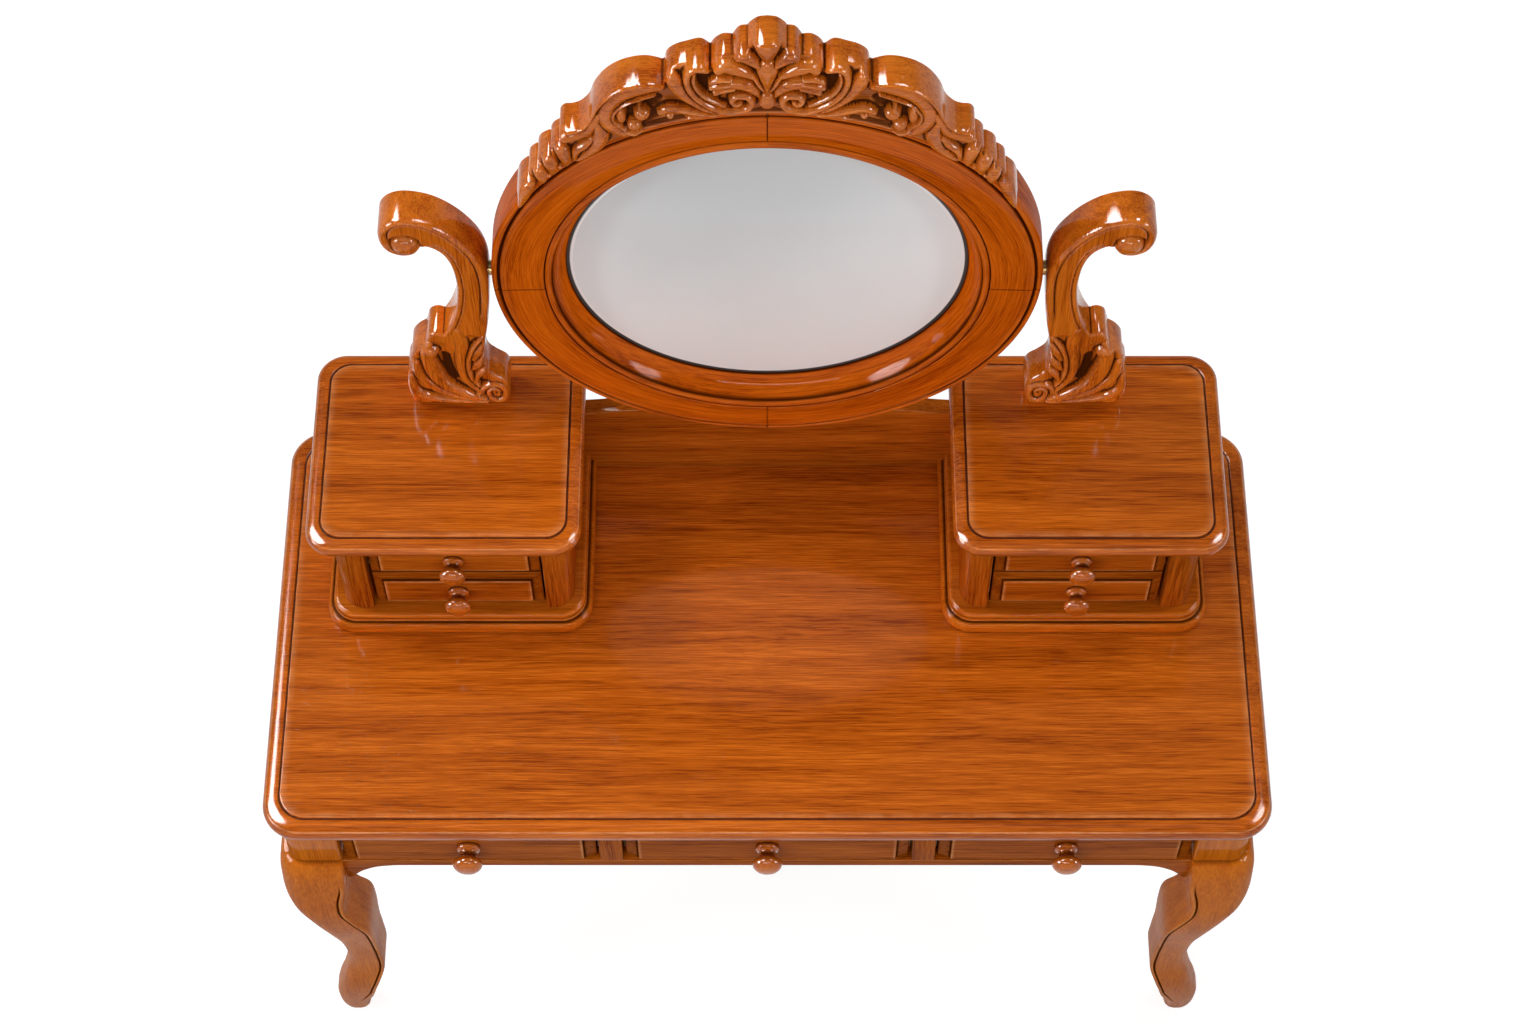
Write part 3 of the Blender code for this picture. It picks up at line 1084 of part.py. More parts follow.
def volute_mesh(face):
    """Spiral at the inner foot of a support."""
    centre_x, centre_z = support_point(*VOLUTE_CENTRE_SHARES)
    path = []
    for step in range(VOLUTE_STEPS + 1):
        along = step / VOLUTE_STEPS
        angle = -math.pi / 2 - 2 * math.pi * VOLUTE_TURNS * along
        radius = VOLUTE_RADIUS * (1 + (VOLUTE_EYE_SHARE - 1) * along)
        bar_share = VOLUTE_BAR_OUTER_SHARE + (VOLUTE_BAR_INNER_SHARE - VOLUTE_BAR_OUTER_SHARE) * along
        thickness = SUPPORT_RELIEF * bar_share
        path.append((centre_x - radius * math.cos(angle), centre_z + radius * math.sin(angle),
                     face - thickness * BAR_SINK_SHARE, thickness))
    return bar_mesh("support_volute", path)


def crown_point(degrees, rise_share):
    """Place on the crown's left half, by its angle from the top and its rise over the frame's rim."""
    rise = CROWN_RISE * rise_share - CROWN_DATUM_INSET
    angle = math.radians(degrees)
    return (-(RING_HALF_WIDTH + rise) * math.sin(angle), (RING_HALF_HEIGHT + rise) * math.cos(angle))


def both_sides(left):
    """Close a run of left-hand points, from the middle out, into a symmetrical one."""
    return [(-x, z) for x, z in reversed(left) if x < -FIT_GAP] + left


def build_crown(pivot):
    """Carved crown: a scalloped board, stepped back over the frame's bead, with its carving."""
    outer = []
    for run in CROWN_OUTLINE_SHARES:
        outer += smooth_run([crown_point(*point) for point in run], CROWN_OUTLINE_STEPS)
    end_degrees = CROWN_OUTLINE_SHARES[-1][-1][0]
    seat_share = (CROWN_DATUM_INSET + FIT_GAP) / CROWN_RISE
    stations = [90 - math.degrees(angle) for angle in reversed(oval_angles(*seam_angles()[:2]))]
    seat = [crown_point(degrees, seat_share) for degrees in stations if degrees < CROWN_SEAT_END_DEGREES]
    outline = both_sides(outer) + both_sides(seat)[::-1]
    mesh = plate_mesh("mirror_crown", outline, CROWN_THICKNESS, CROWN_EDGE)
    face = CROWN_THICKNESS / 2
    low_edge = [crown_point(*point) for point in smooth_run(CROWN_LOW_EDGE_SHARES, CROWN_LOW_EDGE_STEPS)]
    below = [crown_point(degrees, -CROWN_LOW_EDGE_SHARES[0][1]) for degrees in (0.0, end_degrees)]
    rebate = plate_mesh("crown_rebate", both_sides(low_edge) + both_sides(below)[::-1], 2 * CROWN_PROUD)
    rebate.transform(Matrix.Translation((0.0, 0.0, face)))
    mesh = combine(mesh, [rebate], "DIFFERENCE")
    pieces = []
    for run in CROWN_BAR_SHARES:
        path = []
        for degrees, rise_share, radius_share in run:
            radius = CROWN_RELIEF * radius_share
            path.append((*crown_point(degrees, rise_share), face - radius * BAR_SINK_SHARE, radius))
        pieces += carved_pair(path, bar_mesh)
    for degrees, rise_share, radius_share in CROWN_BALL_SHARES:
        radius = CROWN_RELIEF * radius_share
        x, z = crown_point(degrees, rise_share)
        pieces += carved_pair([(x, z, face - radius * BAR_SINK_SHARE, radius)], ball_on_path)
    mesh = combine(mesh, pieces)
    y = CROWN_THICKNESS / 2 - CROWN_PROUD - TILT_AXIS_DEPTH
    place("mirror_crown", mesh, "lacquered_wood", (0.0, y, 0.0), FACING_FRONT, pivot)


def ball_on_path(name, path):
    """Carved ball at the only point of a path."""
    x, z, height, radius = path[0]
    return ball_mesh(name, (x, z, height), radius, CROWN_BALL_FLATTENING_SHARE)


def carved_pair(path, maker):
    """A left-hand carved piece and its opposite hand, or one piece on the middle line."""
    pieces = [maker("carving", path)]
    if min(x for x, z, height, radius in path) < -FIT_GAP:
        pieces.append(maker("carving", [(-x, z, height, radius) for x, z, height, radius in path]))
    return pieces


def build_mirror():
    """Everything that tilts, carried by an empty on the tilt axis."""
    pivot = slide_empty("mirror_tilt_axis", (0.0, PIVOT_Y, PIVOT_Z))
    build_mirror_frame(pivot)
    build_mirror_inside(pivot)
    build_pivots(pivot)
    build_crown(pivot)


def main():
    """Build the whole table."""
    build_table_top()
    build_legs()
    build_rails()
    build_dust_board()
    build_main_drawers()
    build_pedestals()
    build_small_drawers()
    build_back_panel()
    build_supports()
    build_mirror()


clear_scene()
PARTS = new_collection("dressing_table")
CUTTERS = new_collection("cutters")
main()
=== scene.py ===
"""Dressing table in amber lacquered wood: the photograph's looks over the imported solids.

Metres, +Z up, the front faces -Y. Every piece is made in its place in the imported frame.
"""

import logging
import math
from dataclasses import dataclass, field
from enum import Enum
from typing import Callable, Iterable, Sequence

import bmesh
import bpy
import numpy as np
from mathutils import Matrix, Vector
from mathutils.geometry import delaunay_2d_cdt


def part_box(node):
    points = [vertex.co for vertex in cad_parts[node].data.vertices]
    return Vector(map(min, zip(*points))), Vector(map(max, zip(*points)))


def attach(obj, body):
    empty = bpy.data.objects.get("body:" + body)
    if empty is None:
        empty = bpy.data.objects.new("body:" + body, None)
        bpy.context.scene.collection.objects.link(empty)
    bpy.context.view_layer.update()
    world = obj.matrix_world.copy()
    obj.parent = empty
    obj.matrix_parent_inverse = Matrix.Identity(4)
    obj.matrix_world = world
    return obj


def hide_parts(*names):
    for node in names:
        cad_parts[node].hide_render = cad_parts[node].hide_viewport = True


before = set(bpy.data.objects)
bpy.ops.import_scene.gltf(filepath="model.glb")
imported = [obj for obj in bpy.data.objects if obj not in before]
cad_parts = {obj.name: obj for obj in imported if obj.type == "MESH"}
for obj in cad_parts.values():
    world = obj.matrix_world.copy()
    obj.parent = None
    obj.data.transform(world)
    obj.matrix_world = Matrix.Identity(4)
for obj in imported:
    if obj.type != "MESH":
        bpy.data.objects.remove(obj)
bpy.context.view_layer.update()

LOG = logging.getLogger("dressing_table")
Point = tuple[float, float, float]
Flat = tuple[float, float]
Colour = tuple[float, float, float]


class Grain(Enum):
    """Which way the grain of a piece runs."""
    ACROSS = "across"
    DEEP = "deep"
    UPRIGHT = "upright"
    ROUND = "round"


class Wood(Enum):
    """Copies of the one lacquered wood, each made lighter or darker for how the light falls where its pieces stand,
    each with its own gloss.
    """
    TOP = "top"
    FRONT = "front"
    BODY = "body"
    CARVED = "carved"
    KNOB = "knob"
    LEG = "leg"
    RING = "ring"


def smooth_run(points: Sequence[Sequence[float]], steps: int) -> list[tuple[float, ...]]:
    """Draw a smooth curve through a run of points.

    Args:
        points: The points, each of any number of values.
        steps: Steps between two points.

    Returns:
        The points of the curve, first and last included.
    """
    rows = np.asarray(points, dtype=float)
    if len(rows) < 3:
        t = np.linspace(0.0, 1.0, steps + 1)[:, None]
        return [tuple(row) for row in rows[0] * (1 - t) + rows[-1] * t]
    padded = np.vstack([rows[:1], rows, rows[-1:]])
    curve = []
    for index in range(1, len(padded) - 2):
        a, b, c, d = padded[index - 1:index + 3]
        for step in range(steps):
            t = step / steps
            bend = (2 * a - 5 * b + 4 * c - d) * t ** 2 + (3 * b - a - 3 * c + d) * t ** 3
            curve.append(tuple(b + ((c - a) * t + bend) / 2))
    curve.append(tuple(rows[-1]))
    return curve


def even_outline(outline: Sequence[Flat], spacing: float) -> list[Flat]:
    """Add points to a closed outline, so that none lie further apart than the spacing."""
    dense: list[Flat] = []
    for (x0, y0), (x1, y1) in zip(outline, list(outline[1:]) + [outline[0]]):
        length = math.hypot(x1 - x0, y1 - y0)
        parts = max(1, round(length / spacing))
        dense += [(x0 + (x1 - x0) * i / parts, y0 + (y1 - y0) * i / parts) for i in range(parts)]
    return dense


def area_of(outline: Sequence[Flat]) -> float:
    """Signed area of an outline, positive where it runs anticlockwise."""
    return sum(x0 * y1 - x1 * y0 for (x0, y0), (x1, y1) in zip(outline, list(outline[1:]) + [outline[0]])) / 2


def inset_outline(outline: Sequence[Flat], distance: float) -> list[Flat]:
    """Move a closed outline inwards.

    Args:
        outline: Its points.
        distance: How far in, in metres.

    Returns:
        As many points, each moved along the mean of its two edges' normals.
    """
    side = 1.0 if area_of(outline) > 0 else -1.0
    count = len(outline)
    moved = []
    for index, (x, y) in enumerate(outline):
        before = Vector(outline[index - 1])
        after = Vector(outline[(index + 1) % count])
        here = Vector((x, y))
        first = (here - before).normalized()
        second = (after - here).normalized()
        normal = Vector((-first.y - second.y, first.x + second.x))
        length = max(normal.length, 0.9)
        moved.append((x + side * normal.x * distance * 2 / length ** 2, y + side * normal.y * distance * 2 / length ** 2))
    return moved


@dataclass
class Solid:
    """Points and faces of one closed body while it is being made.

    A point's painted light mark paints light and shade into its colour: over 0 is painted shade in grooves, creases,
    gaps and under overhangs, and the dark seam lines at the mirror's joints; under 0 is a painted highlight along an
    arris.
    """
    points: list[Point] = field(default_factory=list)
    faces: list[tuple[int, ...]] = field(default_factory=list)
    painted_light_marks: list[float] = field(default_factory=list)

    def loft(self, rings: Sequence[Sequence[Point]], around: bool = False,
             ring_painted_light: Sequence[float] = (), point_painted_light: Sequence[float] = ()) -> "Solid":
        """Skin a row of rings.

        Args:
            rings: Rings with the same number of points.
            around: Whether the last ring meets the first; otherwise both ends are capped.
            ring_painted_light: Painted light mark of each ring.
            point_painted_light: Painted light mark of each point of a ring.

        Returns:
            This solid.
        """
        start = len(self.points)
        count = len(rings[0])
        for row, ring in enumerate(rings):
            self.points += [tuple(point) for point in ring]
            along = ring_painted_light[row] if ring_painted_light else 0.0
            self.painted_light_marks += [along + (point_painted_light[i] if point_painted_light else 0.0) for i in range(count)]
        last = len(rings) if around else len(rings) - 1
        for row in range(last):
            low = start + row * count
            high = start + ((row + 1) % len(rings)) * count
            for i in range(count):
                j = (i + 1) % count
                self.faces.append((low + i, low + j, high + j, high + i))
        if not around:
            self.faces.append(tuple(range(start, start + count)))
            self.faces.append(tuple(range(start + (len(rings) - 1) * count, start + len(rings) * count)))
        return self

    def moved(self, place: Callable[[Point], Point]) -> "Solid":
        """Send every point through a function that gives its place in the frame."""
        self.points = [place(point) for point in self.points]
        return self

    def mirrored(self) -> "Solid":
        """Opposite-hand copy about the table's middle plane."""
        return Solid([(-x, y, z) for x, y, z in self.points], [face[::-1] for face in self.faces], list(self.painted_light_marks))

    def mesh(self, name: str, smooth_angle: float = 35.0) -> bpy.types.Mesh:
        """Turn the solid into a mesh.

        Args:
            name: Its name.
            smooth_angle: Edges sharper than this many degrees stay sharp.

        Returns:
            The mesh, all of its faces pointing out.
        """
        data = bpy.data.meshes.new(name)
        data.from_pydata(self.points, [], self.faces)
        # Each point's painted shade and painted highlight is stored as a point attribute that the materials read.
        if self.painted_light_marks:
            data.attributes.new("painted_light_mark", "FLOAT", "POINT").data.foreach_set("value", np.array(self.painted_light_marks, dtype=np.float32))
        bm = bmesh.new()
        bm.from_mesh(data)
        bmesh.ops.recalc_face_normals(bm, faces=bm.faces)
        bm.to_mesh(data)
        bm.free()
        data.shade_smooth()
        data.set_sharp_from_angle(angle=math.radians(smooth_angle))
        return data


def plate(outline: Sequence[Flat], low: float, high: float, edge: float, steps: int = 3) -> Solid:
    """Flat plate with rounded edges, standing on its outline's plane.

    Args:
        outline: The outline in its own plane.
        low: One face's height.
        high: The other face's height.
        edge: Radius of the rounded edges.
        steps: Steps of the rounding.

    Returns:
        The solid, its points as outline place and height.
    """
    rings = []
    levels = []
    for step in range(steps + 1):
        turn = math.pi / 2 * step / steps
        levels.append((edge * (1 - math.sin(turn)), low + edge * (1 - math.cos(turn))))
    levels += [(inset, high + low - height) for inset, height in reversed(levels)]
    for inset, height in levels:
        ring = inset_outline(outline, inset) if inset > 0 else list(outline)
        rings.append([(x, y, height) for x, y in ring])
    # Painted highlight on the rounding of each edge.
    rounded = [0.0] + [-0.5] * (steps - 1) + [0.0]
    return Solid().loft(rings, ring_painted_light=rounded + rounded)


def rounded_rectangle(low: Flat, high: Flat, radius: float, steps: int) -> list[Flat]:
    """Outline of a rectangle with round corners, from its front right corner round."""
    outline = []
    for corner, (x, x_side, y, y_side) in enumerate((
            (high[0], -1, low[1], 1), (high[0], -1, high[1], -1), (low[0], 1, high[1], -1), (low[0], 1, low[1], 1))):
        for step in range(steps + 1):
            angle = math.radians(90 * (corner - 1) + 90 * step / steps)
            outline.append((x + x_side * radius + radius * math.cos(angle), y + y_side * radius + radius * math.sin(angle)))
    return outline


class NodeDesk:
    """Lays out and joins the nodes of one tree."""

    def __init__(self, tree: bpy.types.NodeTree) -> None:
        """Keep the tree that is worked on."""
        self.tree = tree

    def add(self, kind: str, **values: object) -> bpy.types.Node:
        """Add a node.

        Args:
            kind: Blender's name of the node.
            values: Its properties by name.

        Returns:
            The node.
        """
        node = self.tree.nodes.new(kind)
        node.location = (180 * (len(self.tree.nodes) % 9), -220 * (len(self.tree.nodes) // 9))
        for name, value in values.items():
            setattr(node, name, value)
        return node

    def join(self, source: object, target: object) -> None:
        """Link an output to an input, or set the input to a plain value."""
        if isinstance(source, bpy.types.NodeSocket):
            self.tree.links.new(source, target)
        else:
            target.default_value = source

    def math(self, operation: str, first: object, second: object = 0.0) -> bpy.types.NodeSocket:
        """Reckon with two values."""
        node = self.add("ShaderNodeMath", operation=operation)
        self.join(first, node.inputs[0])
        self.join(second, node.inputs[1])
        return node.outputs[0]

    def stretch(self, place: object, scale: Point) -> bpy.types.NodeSocket:
        """Multiply a place by a scale along each axis."""
        node = self.add("ShaderNodeVectorMath", operation="MULTIPLY")
        self.join(place, node.inputs[0])
        node.inputs[1].default_value = scale
        return node.outputs[0]

    def noise(self, place: object, scale: float, detail: float, roughness: float = 0.5) -> bpy.types.NodeSocket:
        """Noise value at a place."""
        node = self.add("ShaderNodeTexNoise")
        self.join(place, node.inputs["Vector"])
        node.inputs["Scale"].default_value = scale
        node.inputs["Detail"].default_value = detail
        node.inputs["Roughness"].default_value = roughness
        return node.outputs["Fac"]

    def span(self, value: object, low: float, high: float, to_low: float = 0.0, to_high: float = 1.0) -> bpy.types.NodeSocket:
        """Map a value's range to another, held at its ends."""
        node = self.add("ShaderNodeMapRange", clamp=True, interpolation_type="SMOOTHSTEP")
        self.join(value, node.inputs["Value"])
        for name, number in (("From Min", low), ("From Max", high), ("To Min", to_low), ("To Max", to_high)):
            node.inputs[name].default_value = number
        return node.outputs["Result"]

    def blend(self, share: object, first: object, second: object) -> bpy.types.NodeSocket:
        """Mix two colours by a share."""
        node = self.add("ShaderNodeMix", data_type="RGBA")
        self.join(share, node.inputs["Factor"])
        for socket, colour in ((node.inputs[6], first), (node.inputs[7], second)):
            self.join(colour if isinstance(colour, bpy.types.NodeSocket) else (*colour[:3], 1.0), socket)
        return node.outputs[2]


def new_group(name: str, takes: Iterable[tuple[str, str, object]], gives: Iterable[tuple[str, str]]) -> tuple:
    """Start a shader node group.

    Args:
        name: Its name.
        takes: Name, kind and first value of each input.
        gives: Name and kind of each output.

    Returns:
        The group, its desk, its input node and its output node.
    """
    group = bpy.data.node_groups.new(name, "ShaderNodeTree")
    kinds = {"number": "NodeSocketFloat", "colour": "NodeSocketColor", "vector": "NodeSocketVector"}
    for label, kind, value in takes:
        socket = group.interface.new_socket(name=label, in_out="INPUT", socket_type=kinds[kind])
        if value is not None:
            socket.default_value = value
    for label, kind in gives:
        group.interface.new_socket(name=label, in_out="OUTPUT", socket_type=kinds[kind])
    desk = NodeDesk(group)
    return group, desk, desk.add("NodeGroupInput"), desk.add("NodeGroupOutput")


def wood_grain_group() -> bpy.types.NodeTree:
    """Grain of a close, straight wood: broad bands, fine streaks and short pores along X.

    Returns:
        The group. It takes a place in metres and a light, a middle and a dark colour.
    """
    group, desk, takes, gives = new_group(
        "wood_grain",
        [("Place", "vector", None), ("Light", "colour", (0.6, 0.15, 0.01, 1)), ("Middle", "colour", (0.45, 0.1, 0.01, 1)),
         ("Dark", "colour", (0.3, 0.05, 0.01, 1)), ("Streaks", "number", 0.5), ("Pores", "number", 0.4)],
        [("Colour", "colour"), ("Figure", "number"), ("Height", "number")])
    place = takes.outputs["Place"]
    drift = desk.add("ShaderNodeTexNoise")
    desk.join(desk.stretch(place, (2.5, 9.0, 9.0)), drift.inputs["Vector"])
    drift.inputs["Scale"].default_value = 1.0
    wander = desk.add("ShaderNodeVectorMath", operation="MULTIPLY_ADD")
    desk.join(drift.outputs["Color"], wander.inputs[0])
    wander.inputs[1].default_value = (0.0, 0.013, 0.013)
    desk.join(place, wander.inputs[2])
    bent = wander.outputs[0]
    bands = desk.span(desk.noise(desk.stretch(bent, (2.4, 34.0, 34.0)), 1.0, 2.0), 0.30, 0.72)
    mottle = desk.span(desk.noise(desk.stretch(bent, (5.0, 170.0, 170.0)), 1.0, 3.0), 0.30, 0.70)
    streaks = desk.span(desk.noise(desk.stretch(bent, (15.0, 640.0, 640.0)), 1.0, 3.0, 0.62), 0.30, 0.70)
    hair = desk.span(desk.noise(desk.stretch(bent, (36.0, 1500.0, 1500.0)), 1.0, 2.0), 0.32, 0.68)
    pores = desk.span(desk.noise(desk.stretch(bent, (85.0, 2600.0, 2600.0)), 1.0, 1.0), 0.66, 0.74)
    broad = desk.math("ADD", desk.math("MULTIPLY", bands, 0.6), desk.math("MULTIPLY", mottle, 0.4))
    fine = desk.math("ADD", desk.math("MULTIPLY", streaks, 0.68), desk.math("MULTIPLY", hair, 0.32))
    figure = desk.add("ShaderNodeMix", data_type="FLOAT")
    desk.join(takes.outputs["Streaks"], figure.inputs["Factor"])
    desk.join(broad, figure.inputs[2])
    desk.join(fine, figure.inputs[3])
    value = figure.outputs[0]
    low = desk.blend(desk.span(value, 0.16, 0.52), takes.outputs["Dark"], takes.outputs["Middle"])
    wood = desk.blend(desk.span(value, 0.48, 0.84), low, takes.outputs["Light"])
    pore_share = desk.math("MULTIPLY", pores, takes.outputs["Pores"])
    desk.join(desk.blend(pore_share, wood, takes.outputs["Dark"]), gives.inputs["Colour"])
    desk.join(value, gives.inputs["Figure"])
    desk.join(desk.math("SUBTRACT", desk.math("MULTIPLY", fine, 0.35), pore_share), gives.inputs["Height"])
    return group


def round_place_group() -> bpy.types.NodeTree:
    """Place measured round the mirror: along its rim, out from its middle, and back.

    Returns:
        The group. Its place wraps at the seam on top.
    """
    group, desk, takes, gives = new_group("round_place", [("Place", "vector", None)], [("Place", "vector")])
    apart = desk.add("ShaderNodeSeparateXYZ")
    desk.join(takes.outputs["Place"], apart.inputs[0])
    up = desk.math("SUBTRACT", apart.outputs["Z"], Mirror.AXIS[2])
    angle = desk.math("ARCTAN2", apart.outputs["X"], desk.math("MULTIPLY", up, -1.0))
    out = desk.math("SQRT", desk.math("ADD", desk.math("POWER", apart.outputs["X"], 2.0), desk.math("POWER", up, 2.0)))
    together = desk.add("ShaderNodeCombineXYZ")
    desk.join(desk.math("MULTIPLY", angle, Mirror.RING_HALF[0]), together.inputs[0])
    desk.join(out, together.inputs[1])
    desk.join(apart.outputs["Y"], together.inputs[2])
    desk.join(together.outputs[0], gives.inputs["Place"])
    return group


def painted_light_group() -> bpy.types.NodeTree:
    """Masks of the painted highlight along arrises and of the painted shade in hollows, grooves and gaps, both read
    from each point's painted light mark.

    Returns:
        The group. It takes the place and how strong the painted highlight is.
    """
    group, desk, takes, gives = new_group(
        "painted_highlight_and_shade", [("Place", "vector", None), ("Wear", "number", 0.5)],
        [("Edges", "number"), ("Painted_Shade", "number")])
    # Noise breaks the painted highlight into patches.
    patches = desk.span(desk.noise(takes.outputs["Place"], 55.0, 3.0), 0.30, 0.70, 0.35, 1.0)
    painted_light_mark = desk.add("ShaderNodeAttribute", attribute_type="GEOMETRY", attribute_name="painted_light_mark").outputs["Fac"]
    edges = desk.math("MULTIPLY", desk.span(desk.math("MULTIPLY", painted_light_mark, -1.0), 0.0, 1.0), takes.outputs["Wear"])
    desk.join(desk.math("MULTIPLY", edges, patches), gives.inputs["Edges"])
    desk.join(desk.span(painted_light_mark, 0.0, 1.0), gives.inputs["Painted_Shade"])
    return group


def lacquer_group() -> bpy.types.NodeTree:
    """Unevenness of a brushed and rubbed lacquer: its roughness and its faint waves.

    Returns:
        The group. It takes the place and a mean roughness.
    """
    group, desk, takes, gives = new_group(
        "lacquer", [("Place", "vector", None), ("Gloss Loss", "number", 0.2)],
        [("Roughness", "number"), ("Height", "number"), ("Dust", "number")])
    place = takes.outputs["Place"]
    clouds = desk.span(desk.noise(place, 9.0, 3.0), 0.28, 0.74, 0.78, 1.24)
    specks = desk.span(desk.noise(place, 900.0, 1.0), 0.70, 0.80)
    rough = desk.math("ADD", desk.math("MULTIPLY", clouds, takes.outputs["Gloss Loss"]), desk.math("MULTIPLY", specks, 0.10))
    desk.join(rough, gives.inputs["Roughness"])
    waves = desk.math("ADD", desk.math("MULTIPLY", desk.noise(place, 150.0, 2.0), 0.75), desk.math("MULTIPLY", desk.noise(place, 24.0, 1.0), 0.9))
    desk.join(waves, gives.inputs["Height"])
    desk.join(specks, gives.inputs["Dust"])
    return group


@dataclass
class Effects:
    """The shader node groups, built once and shared by the finishes."""
    grain: bpy.types.NodeTree = field(default_factory=wood_grain_group)
    round_place: bpy.types.NodeTree = field(default_factory=round_place_group)
    painted_light: bpy.types.NodeTree = field(default_factory=painted_light_group)
    lacquer: bpy.types.NodeTree = field(default_factory=lacquer_group)


class Finish:
    """What every finish shares: a new material, its desk and a placed group."""

    def start(self, name: str) -> tuple[bpy.types.Material, NodeDesk, bpy.types.Node, bpy.types.NodeSocket]:
        """Make a material.

        Args:
            name: Its name.

        Returns:
            The material, its desk, its shader and the piece's own coordinates.
        """
        material = bpy.data.materials.new(name)
        material.use_nodes = True
        desk = NodeDesk(material.node_tree)
        place = desk.add("ShaderNodeTexCoord").outputs["Object"]
        return material, desk, material.node_tree.nodes["Principled BSDF"], place

    def effect(self, desk: NodeDesk, group: bpy.types.NodeTree, place: object, **values: object) -> bpy.types.Node:
        """Place a group in a material with this material's own values."""
        node = desk.add("ShaderNodeGroup")
        node.node_tree = group
        desk.join(place, node.inputs["Place"])
        for name, value in values.items():
            node.inputs[name.replace("_", " ")].default_value = (*value, 1.0) if isinstance(value, tuple) else value
        return node

    def bump(self, desk: NodeDesk, shader: bpy.types.Node, height: object, distance: float, strength: float) -> None:
        """Feed a height to the shader's normal."""
        node = desk.add("ShaderNodeBump")
        node.inputs["Distance"].default_value = distance
        node.inputs["Strength"].default_value = strength
        desk.join(height, node.inputs["Height"])
        desk.join(node.outputs["Normal"], shader.inputs["Normal"])


@dataclass(frozen=True)
class LacqueredWood(Finish):
    """Amber lacquer over a straight-grained wood."""
    wood: Wood
    grain: Grain
    light: Colour
    middle: Colour
    dark: Colour
    streaks: float = 0.58
    pores: float = 0.30
    # Strength of the painted highlight along arrises.
    painted_light: float = 0.45
    gloss_loss: float = 0.13
    specular: float = 0.30
    coat: float = 0.22

    def material(self, effects: Effects) -> bpy.types.Material:
        """Build the material from the shared effects."""
        material, desk, shader, place = self.start("lacquer_" + self.wood.value + "_" + self.grain.value)
        along = place
        if self.grain is Grain.ROUND:
            along = self.effect(desk, effects.round_place, place).outputs["Place"]
        elif self.grain is not Grain.ACROSS:
            turn = desk.add("ShaderNodeMapping")
            desk.join(place, turn.inputs["Vector"])
            turn.inputs["Rotation"].default_value = (0, 0, math.pi / 2) if self.grain is Grain.DEEP else (0, math.pi / 2, 0)
            along = turn.outputs[0]
        grain = self.effect(desk, effects.grain, along, Light=self.light, Middle=self.middle, Dark=self.dark,
                            Streaks=self.streaks, Pores=self.pores)
        painted_light = self.effect(desk, effects.painted_light, place, Wear=self.painted_light)
        lacquer = self.effect(desk, effects.lacquer, place, Gloss_Loss=self.gloss_loss)
        # Painted shade: where the painted shade mask lies, in grooves, creases and gaps, the grain's colour is darkened
        # towards a near-black brown.
        deep = tuple(0.10 * channel for channel in self.dark)
        # Painted highlight: a light orange laid along arrises.
        painted_highlight_colour = (0.96, 0.50, 0.20)
        colour = desk.blend(desk.math("MULTIPLY", painted_light.outputs["Painted_Shade"], 0.93), grain.outputs["Colour"], deep)
        colour = desk.blend(painted_light.outputs["Edges"], colour, painted_highlight_colour)
        desk.join(colour, shader.inputs["Base Color"])
        rough = desk.math("ADD", lacquer.outputs["Roughness"], desk.math("MULTIPLY", painted_light.outputs["Painted_Shade"], 0.6))
        desk.join(rough, shader.inputs["Roughness"])
        shader.inputs["Specular IOR Level"].default_value = self.specular
        # The coat is thinned under the painted shade, so that shaded places lose their gloss.
        coat_out_of_shade = desk.math("SUBTRACT", 1.0, desk.math("MINIMUM", desk.math("MULTIPLY", painted_light.outputs["Painted_Shade"], 1.15), 0.97))
        desk.join(desk.math("MULTIPLY", coat_out_of_shade, self.coat), shader.inputs["Coat Weight"])
        shader.inputs["Coat Roughness"].default_value = 0.07
        height = desk.math("ADD", lacquer.outputs["Height"], grain.outputs["Height"])
        self.bump(desk, shader, height, 0.00012, 0.55)
        return material


@dataclass(frozen=True)
class PlainWood(Finish):
    """Unlacquered wood of the drawer boxes and the mirror's back."""
    name: str
    light: Colour
    middle: Colour
    dark: Colour
    grain: Grain = Grain.ACROSS

    def material(self, effects: Effects) -> bpy.types.Material:
        """Build the material from the shared effects."""
        material, desk, shader, place = self.start(self.name)
        turn = desk.add("ShaderNodeMapping")
        desk.join(place, turn.inputs["Vector"])
        turn.inputs["Rotation"].default_value = (0, 0, math.pi / 2) if self.grain is Grain.DEEP else (0, 0, 0)
        grain = self.effect(desk, effects.grain, turn.outputs[0], Light=self.light, Middle=self.middle, Dark=self.dark,
                            Streaks=0.42, Pores=0.55)
        painted_light = self.effect(desk, effects.painted_light, place, Wear=0.3)
        lacquer = self.effect(desk, effects.lacquer, place, Gloss_Loss=0.58)
        # Painted shade darkens the colour in grooves and gaps, and a painted highlight lightens it along arrises.
        colour = desk.blend(desk.math("MULTIPLY", painted_light.outputs["Painted_Shade"], 0.5), grain.outputs["Colour"], self.dark)
        desk.join(desk.blend(painted_light.outputs["Edges"], colour, self.light), shader.inputs["Base Color"])
        desk.join(lacquer.outputs["Roughness"], shader.inputs["Roughness"])
        shader.inputs["Specular IOR Level"].default_value = 0.3
        self.bump(desk, shader, grain.outputs["Height"], 0.0003, 0.6)
        return material


